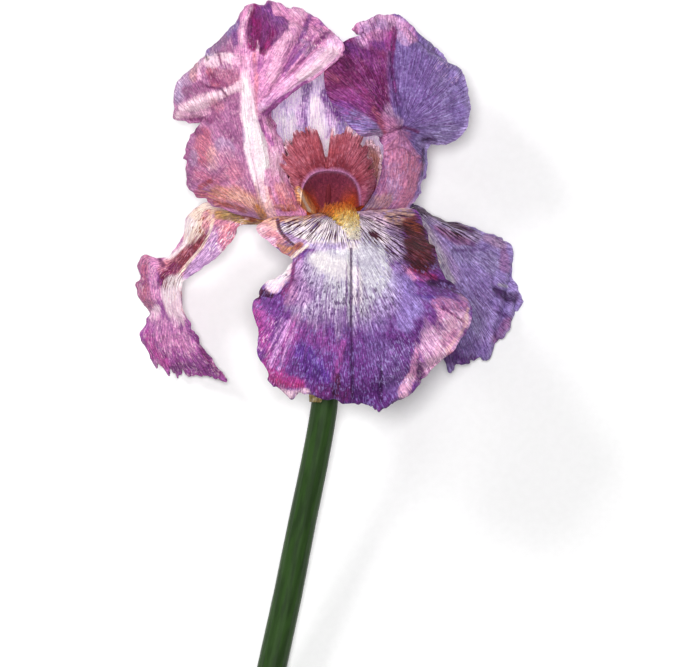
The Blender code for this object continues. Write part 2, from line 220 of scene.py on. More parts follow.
def curve_across(rows, t):
    """Each row's own smooth curve through its points, read at its own t."""
    spans = rows.shape[1] - 1
    first = 2 * rows[:, :1] - rows[:, 1:2]
    last = 2 * rows[:, -1:] - rows[:, -2:-1]
    padded = np.concatenate([first, rows, last], 1)
    place = t * spans
    index = np.clip(np.floor(place).astype(int), 0, spans - 1)
    share = (place - index)[:, None]
    lines = np.arange(len(rows))
    return cubic(*(padded[lines, index + step] for step in range(4)), share)


def steps_along(points):
    """How far each point of a grid lies along its own line of rows."""
    steps = np.linalg.norm(np.diff(points, axis=1), axis=-1)
    return np.concatenate([0 * steps[:, :1], np.cumsum(steps, 1)], 1)


def unit_vectors(vectors):
    lengths = np.linalg.norm(vectors, axis=-1, keepdims=True)
    return vectors / np.maximum(lengths, 1e-9)


def normals_of(grid):
    """The unit normal at each point of a grid (columns, rows, 3)."""
    return unit_vectors(np.cross(np.gradient(grid, axis=0), np.gradient(grid, axis=1)))


def ramp(values, start, end):
    """0 up to start, 1 from end, and a soft rise between."""
    share = np.clip((values - start) / (end - start), 0, 1)
    return share * share * (3 - 2 * share)


LATTICE = 32


def soft_noise(places, seed):
    """Soft random values from -1 to 1 over places of one, two or three coordinates."""
    places = np.asarray(places, float)
    ways = places.shape[-1]
    values = np.random.default_rng(seed).uniform(-1, 1, (LATTICE,) * ways)
    cell = np.floor(places).astype(int)
    share = places - cell
    share = share * share * (3 - 2 * share)
    total = np.zeros(places.shape[:-1])
    for corner in itertools.product((0, 1), repeat=ways):
        weight = np.prod(np.where(corner, share, 1 - share), -1)
        index = tuple(np.moveaxis((cell + corner) % LATTICE, -1, 0))
        total += weight * values[index]
    return total


def wobble(t, steps, seed):
    """Soft random values along one coordinate, with so many steps from 0 to 1."""
    return soft_noise(np.asarray(t)[..., None] * steps, seed)


def stroke_ratio(across, down, points):
    """How many half widths each place lies from a stroke of (across, down, half width)."""
    ratio = np.full(across.shape, 1e9)
    for start, end in zip(points, points[1:] or points[:1]):
        run, fall = end[0] - start[0], end[1] - start[1]
        right, under = across - start[0], down - start[1]
        share = np.clip((right * run + under * fall) / max(run**2 + fall**2, 1e-9), 0, 1)
        distance = np.hypot(right - share * run, under - share * fall)
        half_width = start[2] + (end[2] - start[2]) * share
        ratio = np.minimum(ratio, distance / half_width)
    return ratio


@dataclass
class Petal:
    """A blade's guides from its claw to its far edge. Left and right are seen from outside.

    A mould raises or sinks a stroke: height, from u, to u, (across, down, half width)...
    A bite lets the margin out or takes it in: side (0 at the far edge), place, half length, reach.
    """

    name: str
    kind: str
    turn: float
    left: list
    rib: list
    right: list
    left_lift: float = 0.0
    right_lift: float = 0.0
    ruffle: tuple = (0.0, 0.0)
    waves: tuple = (4.0, 4.0)
    phase: tuple = (0.0, 0.0)
    grid: tuple = (151, 201)
    fans: tuple = ()
    frill: float = 2.2
    lace: float = 2.0
    pleat: float = 1.1
    crinkle: float = 0.45
    rumple: tuple = (1.0, 1.0)
    moulds: tuple = ()
    bites: tuple = ()
    seed: int = 0


STANDARD_LEFT = Petal(
    name="standard_left",
    kind="standard",
    turn=FLOWER_TURN - 60,
    left=[
        (300, 226, 110), (262, 219, 118), (225, 209, 116), (200, 196, 108), (185, 172, 102),
        (187, 148, 100), (197, 128, 104), (174, 110, 106), (180, 84, 102), (197, 62, 96),
        (216, 41, 94), (240, 21, 98),
    ],
    rib=[
        (304, 225, 113), (274, 219, 131), (264, 198, 146), (258, 168, 154), (253, 138, 158),
        (249, 110, 160), (247, 85, 158), (246, 65, 152), (245, 45, 142), (245, 30, 130),
        (246, 18, 118), (250, 5, 108),
    ],
    right=[
        (307, 223, 117), (306, 212, 124), (297, 195, 131), (288, 172, 135), (284, 152, 141),
        (277, 131, 147), (271, 114, 154), (296, 93, 166), (328, 71, 171), (343, 52, 160),
        (332, 33, 142), (301, 8, 124),
    ],
    left_lift=0.12,
    right_lift=0.10,
    ruffle=(8.0, 5.0),
    waves=(5.5, 5.5),
    phase=(0.2, 0.0),
    fans=((262, 218, 130, 0, 0.47, 0),),
    seed=100,
    moulds=(
        (5, 0, 0.5, [(206, 61, 5), (222, 60, 6), (240, 62, 6)]),
        (-5, 0, 0.5, [(206, 78, 6), (222, 82, 8), (238, 76, 7)]),
        (6, 0, 0.5, [(180, 111, 7), (198, 104, 7), (214, 98, 6), (240, 88, 5)]),
        (-4, 0, 0.5, [(194, 122, 4), (212, 114, 5), (232, 104, 5)]),
        (-3, 0, 0.5, [(212, 46, 6), (236, 34, 8)]),
        (3, 0, 0.5, [(206, 140, 6), (214, 168, 7)]),
        (-12, 0.5, 1, [(255, 12, 7), (254, 36, 9), (262, 50, 5)]),
        (-5, 0.5, 1, [(272, 22, 9), (274, 38, 7)]),
        (4, 0.5, 1, [(266, 96, 3), (276, 72, 4), (288, 44, 5), (298, 18, 6)]),
        (-4, 0.5, 1, [(284, 74, 3), (296, 46, 4), (310, 22, 5)]),
        (3, 0.5, 1, [(292, 70, 3), (306, 50, 4), (320, 34, 4)]),
        (-4, 0.5, 1, [(292, 78, 3), (312, 56, 4), (328, 34, 5)]),
        (4, 0.5, 1, [(262, 110, 4), (296, 82, 6), (332, 54, 8)]),
        (-7, 0.7, 1, [(272, 124, 5), (272, 116, 4), (288, 103, 4), (306, 90, 3)]),
        (3, 0.7, 1, [(270, 136, 4), (279, 142, 4)]),
        (-3, 0.6, 1, [(262, 124, 3), (266, 140, 3), (272, 152, 3)]),
    ),
    bites=(
        (-1, 0.64, 0.035, 7), (-1, 0.585, 0.03, -6), (-1, 0.79, 0.05, -5), (0, 0.1, 0.1, -6),
        (0, 0.71, 0.07, 5), (0, 0.86, 0.06, -5), (1, 0.46, 0.05, 3),
    ),
    grid=(181, 241),
    lace=1.2,
)

STANDARD_RIGHT = Petal(
    name="standard_right",
    kind="standard",
    turn=FLOWER_TURN + 60,
    left=[
        (346, 225, 113), (359, 213, 124), (371, 197, 130), (380, 178, 134), (383, 152, 138),
        (378, 138, 143), (360, 136, 148), (342, 118, 150), (326, 92, 148), (327, 62, 138),
        (344, 43, 126), (356, 26, 112),
    ],
    rib=[
        (352, 226, 108), (380, 214, 117), (394, 196, 126), (400, 172, 133), (401, 148, 140),
        (397, 128, 146), (392, 105, 150), (390, 83, 150), (391, 61, 144), (394, 42, 132),
        (397, 27, 118), (394, 14, 106),
    ],
    right=[
        (354, 226, 101), (388, 217, 104), (413, 206, 110), (421, 188, 112), (426, 165, 114),
        (429, 146, 122), (446, 146, 132), (463, 132, 134), (471, 108, 130), (464, 79, 120),
        (446, 57, 110), (420, 34, 102),
    ],
    left_lift=0.08,
    right_lift=0.14,
    ruffle=(6.0, 6.5),
    waves=(5.0, 4.5),
    phase=(0.3, 0.1),
    fans=((400, 132, 90, 0, 1, 0.42),),
    seed=200,
    moulds=(
        (-5, 0.3, 0.75, [(398, 28, 4), (392, 58, 4), (395, 90, 4), (404, 116, 4)]),
        (-4, 0, 0.5, [(352, 80, 16), (380, 96, 10)]),
        (3, 0, 0.5, [(340, 62, 4), (352, 90, 4), (372, 110, 4)]),
        (4, 0, 0.5, [(358, 28, 5), (372, 20, 5)]),
        (-3, 0, 0.6, [(378, 30, 5), (384, 50, 5)]),
        (3, 0.5, 1, [(404, 24, 5), (408, 44, 5)]),
        (-3, 0, 1, [(391, 132, 3), (404, 129, 3), (418, 133, 3)]),
        (-4, 0.5, 1, [(424, 150, 4), (424, 180, 4)]),
        (3, 0, 1, [(398, 160, 9), (400, 190, 9)]),
    ),
    bites=(
        (-1, 0.93, 0.045, -21), (0, 0.27, 0.14, 7), (0, 0.82, 0.16, -6), (1, 0.27, 0.05, -5),
        (1, 0.4, 0.05, 3), (0, 0.5, 0.1, -2),
    ),
    grid=(161, 201),
    lace=1.5,
)

STANDARD_BACK = Petal(
    name="standard_back",
    kind="shaded standard",
    turn=FLOWER_TURN + 180,
    left=[
        (335, 225, 83), (351, 220, 66), (371, 203, 46), (389, 165, 34), (398, 124, 30),
        (396, 88, 36), (384, 66, 48), (366, 54, 54), (346, 48, 60),
    ],
    rib=[
        (325, 225, 79), (324, 218, 58), (322, 195, 32), (321, 158, 10), (321, 122, -4),
        (321, 90, -5), (321, 68, 6), (322, 54, 22), (325, 44, 40),
    ],
    right=[
        (317, 225, 83), (303, 220, 66), (283, 203, 46), (264, 165, 34), (255, 124, 30),
        (257, 88, 36), (268, 66, 48), (284, 54, 54), (302, 46, 60),
    ],
    left_lift=-0.08,
    right_lift=-0.08,
    ruffle=(3.5, 3.5),
    waves=(4.0, 4.0),
    phase=(0.0, 0.5),
    seed=300,
    grid=(91, 131),
)

FALL_FRONT = Petal(
    name="fall_front",
    kind="fall",
    turn=FALL_TURNS["front"],
    left=[
        (315, 223, 115), (295, 219, 132), (274, 219, 150), (258, 230, 161), (270, 243, 178),
        (293, 259, 190), (287, 268, 200), (264, 289, 202), (252, 308, 204), (259, 331, 206),
        (259, 351, 206), (274, 386, 206),
    ],
    rib=[
        (329, 222, 117), (332, 216, 136), (337, 213, 158), (342, 217, 181), (347, 228, 202),
        (350, 246, 219), (353, 269, 230), (354, 295, 236), (355, 322, 238), (356, 350, 236),
        (357, 378, 231), (357, 405, 223),
    ],
    right=[
        (343, 222, 114), (366, 217, 131), (391, 212, 149), (413, 213, 161), (424, 228, 173),
        (432, 248, 184), (440, 270, 194), (456, 289, 200), (470, 308, 204), (464, 335, 208),
        (441, 359, 211), (401, 399, 215),
    ],
    left_lift=0.10,
    right_lift=0.10,
    ruffle=(6.0, 6.5),
    waves=(5.5, 4.5),
    phase=(0.1, 0.3),
    fans=((338, 206, 270, 0, 1, 0),),
    seed=400,
    moulds=(
        (-2, 0.3, 0.7, [(350, 250, 2.4), (351, 310, 2.6), (353, 395, 3.4)]),
        (1.6, 0.3, 0.7, [(345, 256, 2.4), (345, 330, 3)]),
        (1.6, 0.3, 0.7, [(357, 262, 2.4), (358, 330, 3)]),
        (-2.4, 0.5, 1, [(381, 362, 2.6), (380, 402, 3.4)]),
        (-3, 0.2, 0.6, [(337, 368, 3), (336, 395, 4)]),
        (-6, 0.5, 1, [(432, 282, 5), (450, 287, 5), (468, 296, 5)]),
        (5, 0.5, 1, [(438, 304, 5), (464, 306, 6)]),
        (-2, 0.5, 1, [(442, 310, 2), (462, 322, 2)]),
        (-5, 0.5, 1, [(417, 358, 3), (420, 386, 4)]),
        (4, 0.5, 1, [(409, 374, 4), (402, 394, 5)]),
        (2.5, 0.5, 1, [(430, 320, 3), (440, 344, 4)]),
        (-3, 0, 0.5, [(262, 298, 4), (280, 296, 3), (292, 280, 3)]),
        (5, 0, 0.5, [(268, 284, 6), (284, 270, 5)]),
        (2.5, 0, 0.5, [(300, 318, 3), (286, 344, 4), (272, 374, 4)]),
        (-2.5, 0, 0.5, [(292, 316, 3), (278, 340, 3), (266, 362, 3)]),
        (-3, 0, 0.5, [(312, 346, 6), (316, 378, 7)]),
        (3, 0.2, 0.6, [(344, 344, 3), (334, 374, 4)]),
        (4, 0, 0.5, [(262, 229, 4), (276, 240, 4), (290, 250, 4)]),
    ),
    bites=(
        (-1, 0.56, 0.025, 3), (-1, 0.62, 0.03, -3), (-1, 0.7, 0.02, -3), (-1, 0.96, 0.03, -3),
        (0, 0.8, 0.14, 5), (0, 0.09, 0.08, 6),
    ),
    grid=(201, 221),
    lace=1.3,
    frill=1.8,
)

FALL_RIGHT = Petal(
    name="fall_right",
    kind="fall",
    turn=FALL_TURNS["right"],
    left=[
        (352, 224, 94), (385, 222, 92), (414, 236, 92), (428, 262, 88), (434, 292, 82),
        (438, 320, 74), (441, 347, 64), (447, 370, 52),
    ],
    rib=[
        (350, 221, 87), (383, 212, 76), (415, 213, 64), (445, 227, 54), (467, 254, 43),
        (479, 288, 33), (485, 322, 25), (484, 354, 22),
    ],
    right=[
        (348, 220, 81), (379, 209, 66), (412, 205, 48), (445, 218, 32), (489, 233, 16),
        (510, 241, 3), (515, 275, -3), (525, 301, -1),
    ],
    left_lift=0.05,
    right_lift=0.08,
    ruffle=(4.0, 5.0),
    waves=(3.0, 4.0),
    phase=(0.0, 0.4),
    fans=((412, 206, 315, 0, 1, 0),),
    seed=500,
    moulds=(
        (-5, 0.5, 1, [(494, 288, 3), (506, 294, 5), (518, 298, 6)]),
        (4, 0.5, 1, [(500, 280, 4), (516, 280, 4)]),
        (3, 0.5, 1, [(420, 212, 4), (446, 224, 5), (474, 238, 5)]),
        (-3, 0.5, 1, [(440, 232, 3), (464, 244, 4), (484, 248, 3)]),
        (2.5, 0.3, 1, [(456, 262, 4), (486, 270, 6)]),
        (-2.5, 0.3, 1, [(470, 292, 3), (500, 313, 4)]),
        (-4, 0, 0.6, [(462, 350, 5), (476, 344, 6)]),
    ),
    bites=((0, 0.76, 0.14, 6), (0, 0.57, 0.12, 7), (0, 0.04, 0.08, 5)),
    grid=(121, 161),
    lace=1.5,
)

FALL_LEFT = Petal(
    name="fall_left",
    kind="fall",
    turn=FALL_TURNS["left"],
    left=[
        (303, 219, 86), (270, 211, 78), (232, 207, 70), (206, 205, 62), (188, 217, 54),
        (184, 240, 46), (166, 259, 38), (140, 256, 28), (136, 292, 18), (151, 312, 12),
        (139, 335, 2), (150, 360, -2),
    ],
    rib=[
        (300, 220, 93), (268, 214, 91), (236, 211, 87), (208, 212, 82), (197, 229, 76),
        (186, 250, 68), (175, 268, 60), (167, 283, 52), (165, 298, 45), (168, 315, 38),
        (171, 345, 28), (180, 375, 18),
    ],
    right=[
        (302, 227, 101), (268, 225, 102), (240, 225, 101), (233, 239, 97), (216, 257, 91),
        (199, 270, 84), (183, 281, 75), (182, 296, 69), (186, 316, 63), (193, 332, 56),
        (204, 350, 48), (224, 378, 40),
    ],
    left_lift=0.06,
    right_lift=0.06,
    ruffle=(3.0, 2.0),
    waves=(5.0, 3.0),
    phase=(0.0, 0.2),
    seed=600,
    moulds=(
        (-3, 0.3, 0.7, [(206, 230, 3), (186, 256, 4), (166, 280, 6)]),
        (3, 0.6, 1, [(228, 236, 6), (204, 262, 5)]),
        (3, 0, 0.4, [(142, 264, 6), (146, 298, 6)]),
        (-3, 0, 0.5, [(144, 278, 3), (152, 276, 3)]),
        (-2, 0, 1, [(180, 330, 2), (186, 366, 3)]),
        (2, 0, 1, [(170, 326, 3), (172, 366, 4)]),
        (2, 0.5, 1, [(188, 332, 3), (206, 368, 4)]),
    ),
    bites=(
        (-1, 0.71, 0.02, -7), (-1, 0.81, 0.03, 9), (-1, 0.86, 0.02, 4), (1, 0.69, 0.09, -4),
        (0, 0.26, 0.06, 6), (0, 0.42, 0.03, 4), (0, 0.53, 0.05, -6), (0, 0.07, 0.07, 6),
        (0, 0.98, 0.06, 5),
    ),
    grid=(111, 161),
    lace=1.2,
)


def between(one, other, lift):
    """The guide midway between two, raised by a share of their distance."""
    middle = (one + other) / 2
    middle[:, 2] += lift * np.linalg.norm(one - other, axis=1)
    return middle


def guides_of(petal):
    """The blade's five guides, each starting on the rim of the flower tube."""
    claw = [
        about_heart(petal.turn, RIM_RADIUS, side, 0)
        for side in (-CLAW_HALF_WIDTH, 0, CLAW_HALF_WIDTH)
    ]
    left, rib, right = (
        np.vstack([start, placed(guide)])
        for start, guide in zip(claw, (petal.left, petal.rib, petal.right))
    )
    left_middle = between(left, rib, petal.left_lift)
    right_middle = between(rib, right, petal.right_lift)
    return np.stack([left, left_middle, rib, right_middle, right], 1)


def blade_points(petal, u, v):
    """The blade's smooth middle surface at pairs of across u and along v."""
    rows = curve_through(guides_of(petal), v.ravel())
    return curve_across(rows, u.ravel()).reshape(u.shape + (3,))


def ruffle_height(petal, u, v):
    """How far the ruffles lift the blade: they grow from the rib out to the free edges."""
    right_share = u
    left_share = 1 - u
    amplitude = left_share * petal.ruffle[0] + right_share * petal.ruffle[1]
    turns = left_share * (petal.waves[0] * v + petal.phase[0])
    turns += right_share * (petal.waves[1] * v + petal.phase[1])
    near_side = np.abs(2 * u - 1) ** RUFFLE_DEPTH
    near_end = np.clip((v - END_FROM) / (1 - END_FROM), 0, 1) ** 2
    turns += END_WAVES * (2 * u - 1) * near_end
    grown = np.clip((v - RUFFLE_FROM) / RUFFLE_RISE, 0, 1)
    edge = 1 - (1 - near_side) * (1 - near_end)
    return amplitude * grown * edge * np.sin(2 * math.pi * turns)


def laced(petal, u, v):
    """Across and along, with the free edges let out and taken in as on a lacy margin."""
    side = 2 * u - 1
    length = len(petal.rib) * GUIDE_STEP
    chord = blade_points(petal, 0 * v + 1, v) - blade_points(petal, 0 * v, v)
    width = np.linalg.norm(chord, axis=-1)
    broad, fine = LACE_SIZES
    bites = wobble(v, length / broad, petal.seed + 1) + 0.7 * wobble(v, length / fine, petal.seed + 2)
    bites *= np.where(side > 0, 1, -1) * wobble(v + side, 7, petal.seed + 3) + 0.6
    let_out = petal.lace * bites / np.maximum(width, 30) * ramp(v, 0.12, 0.3)
    u = u + np.sign(side) * np.abs(side) ** 8 * let_out
    for margin, place, half_length, reach in petal.bites:
        bite = reach * (1 - ramp(np.abs((v if margin else u) - place), 0, half_length))
        if margin:
            u = u + margin * (side * margin > 0) * np.abs(side) ** 3 * bite / width
        else:
            v = v + v**8 * bite / length
    far = wobble(u, FAR_EDGE / broad, petal.seed + 4)
    far += 0.7 * wobble(u, FAR_EDGE / fine, petal.seed + 5)
    v = v + petal.lace * far / length * ramp(v, 0.8, 1)
    return u, v


def moulded(petal, points, u):
    """The surface with the petal's own folds, pockets and grooves raised or sunk in it."""
    across, down = points[..., 0] + PLAN_MIDDLE[0], PLAN_MIDDLE[1] - points[..., 1]
    points = points.copy()
    for height, from_u, to_u, strokes in petal.moulds:
        ratio = stroke_ratio(across, down, strokes)
        inside = ramp(u, from_u - 0.04, from_u + 0.04) * (1 - ramp(u, to_u - 0.04, to_u + 0.04))
        points[..., 2] += height * np.exp(-1.2 * ratio**2) * inside
    return points


@dataclass
class Reading:
    """A blade read over its grid: place, across, along and the way of its veins."""

    points: np.ndarray
    u: np.ndarray
    v: np.ndarray
    way: np.ndarray
    margin: np.ndarray


# Veins branch in two each time that the blade grows from this width to twice as wide
WAY_UNIT = 40
BRANCHINGS = 3


def times_branched(width):
    return np.clip(np.log2(np.maximum(width, 1) / WAY_UNIT), 0, BRANCHINGS)


def vein_way(points, u, v, fans=()):
    """Across the veins, along them, and how many times they have branched in two.

    Veins follow the blade's own grid. In a fan's part of the blade they spread in the
    plan from one place: across, down, the turn that it faces, from u, to u and from v.
    """
    along = steps_along(points)
    across = u
    width = np.linalg.norm(np.gradient(points, axis=0), axis=-1)
    width = width / np.maximum(np.abs(np.gradient(u, axis=0)), 1e-6)
    for at_across, at_down, turn, from_u, to_u, from_v in fans:
        at, facing = placed((at_across, at_down, 0)), math.radians(turn)
        right, up = points[..., 0] - at[0], points[..., 1] - at[1]
        angle = np.arctan2(
            up * math.cos(facing) - right * math.sin(facing),
            right * math.cos(facing) + up * math.sin(facing),
        )
        inside = (u >= from_u) & (u <= to_u) & (v >= from_v)
        across = np.where(inside, angle, across)
        along = np.where(inside, np.hypot(right, up), along)
        width = np.where(inside, np.hypot(right, up), width)
    return np.stack([across, along, times_branched(width)], -1)


def streaks(way, lines, length, seed):
    """Soft values from -1 to 1 drawn out along the veins, branching as they spread."""
    across, along, branched = np.moveaxis(way, -1, 0)
    total = 0
    for step in range(BRANCHINGS + 1):
        share = np.clip(1 - np.abs(branched - step), 0, 1)
        place = np.stack([across * lines * 2**step, along / length], -1)
        total = total + share * soft_noise(place, seed + step)
    return total


def read_blade(petal):
    """The finished surface of a petal: ruffles, frilled margins, pleats and fine crinkles."""
    u, v = np.meshgrid(*(np.linspace(0, 1, lines) for lines in petal.grid), indexing="ij")
    laced_u, laced_v = laced(petal, u, v)
    smooth = moulded(petal, blade_points(petal, laced_u, laced_v), u)
    normals = normals_of(smooth)
    way = vein_way(smooth, u, v, petal.fans)
    width = np.linalg.norm(smooth[-1] - smooth[0], axis=-1)[None]
    length = np.linalg.norm(np.diff(smooth, axis=1), axis=-1).sum(1)[:, None]
    margin = np.minimum(np.minimum(u, 1 - u) * width, (1 - v) * length)
    grown = ramp(v, 0.1, 0.35)
    near_edge = (1 - ramp(margin, 0, FRILL_BAND)) * grown
    broad, fine = (smooth / size for size in FRILL_SIZES)
    frill = soft_noise(broad, petal.seed + 20) + 0.5 * soft_noise(fine, petal.seed + 21)
    pleats = sum(
        depth * streaks(way, lines, length, petal.seed + 30 + lines)
        for depth, lines, length in PLEATS
    )
    broad, fine = (smooth / size for size in CRINKLE_SIZES)
    crinkle = soft_noise(broad, petal.seed + 40) + 0.6 * soft_noise(fine, petal.seed + 42)
    rumple = petal.rumple[0] * (1 - u) + petal.rumple[1] * u
    folds = rumple * soft_noise(smooth / FOLD_SIZE, petal.seed + 41)
    lift = ruffle_height(petal, u, v)[..., None] * RUFFLE_WAY
    fine = petal.frill * near_edge * frill + grown * (petal.pleat * pleats + folds + petal.crinkle * crinkle)
    points = smooth + (lift + fine[..., None]) * normals
    points[..., 2] = np.maximum(points[..., 2], HALF_PETAL)
    return Reading(points, u, v, way, margin)


LAYERS = ("ground", "stripe", "vein", "fleck")


class Paint:
    """Colours laid on a blade in soft strokes: a ground, and three kinds of marking over it.

    The markings are bold stripes, thin veins and small flecks; the pale flecks are partly painted glints.
    Each has its own colour and strength at every point, and the shader draws its lines and dots.
    """

    def __init__(self, reading, ground, seed=0):
        self.reading = reading
        self.across = reading.points[..., 0] + PLAN_MIDDLE[0]
        self.down = PLAN_MIDDLE[1] - reading.points[..., 1]
        broad = streaks(reading.way, 7, 26, seed + 50)
        self.ragged = broad + 0.6 * streaks(reading.way, 16, 14, seed + 51)
        self.layers = {layer: np.zeros(reading.u.shape + (4,)) for layer in LAYERS}
        self.wash("ground", ground)

    def lay(self, layer, colour, strength, mask):
        """Mixes a colour into a layer; a marking also takes the stroke's strength."""
        values = self.layers[layer]
        mask = mask[..., None]
        if layer == "ground":
            values[..., :3] += (linear(colour) - values[..., :3]) * mask * strength
            values[..., 3] = 1
            return
        new_colour = np.where(values[..., 3:] > 0.02, mask, mask > 0)
        values[..., :3] += (linear(colour) - values[..., :3]) * new_colour
        values[..., 3:] += (strength - values[..., 3:]) * mask

    def wash(self, layer, colour, strength=1.0):
        self.lay(layer, colour, strength, np.ones(self.across.shape))

    def brush(self, layer, side=None):
        """A brush for one layer, on one side of the blade or all over it.

        Its strokes run through (across, down, half width) and are ragged along the veins.
        """

        def stroke(colour, points, strength=1.0, ragged=0.25, soft=0.4, only=side):
            ratio = stroke_ratio(self.across, self.down, points)
            mask = 1 - ramp(ratio + ragged * self.ragged, 1 - soft, 1 + soft)
            if only is not None:
                mask = mask * only
            self.lay(layer, colour, strength, mask)

        return stroke

    def rim(self, layer, colour, depth, strength=1.0, only=None):
        """A band along the free edges, of uneven depth."""
        edge = self.reading.margin + 0.5 * depth * self.ragged
        mask = (1 - ramp(edge, depth * 0.5, depth * 1.5)) * ramp(self.reading.v, 0.15, 0.3)
        if only is not None:
            mask = mask * only
        self.lay(layer, colour, strength, mask)

    def near(self, across, down, reach):
        """1 round a place and 0 away from it, to keep a stroke to part of a blade."""
        return 1 - ramp(np.hypot(self.across - across, self.down - down), 0.8 * reach, 1.2 * reach)


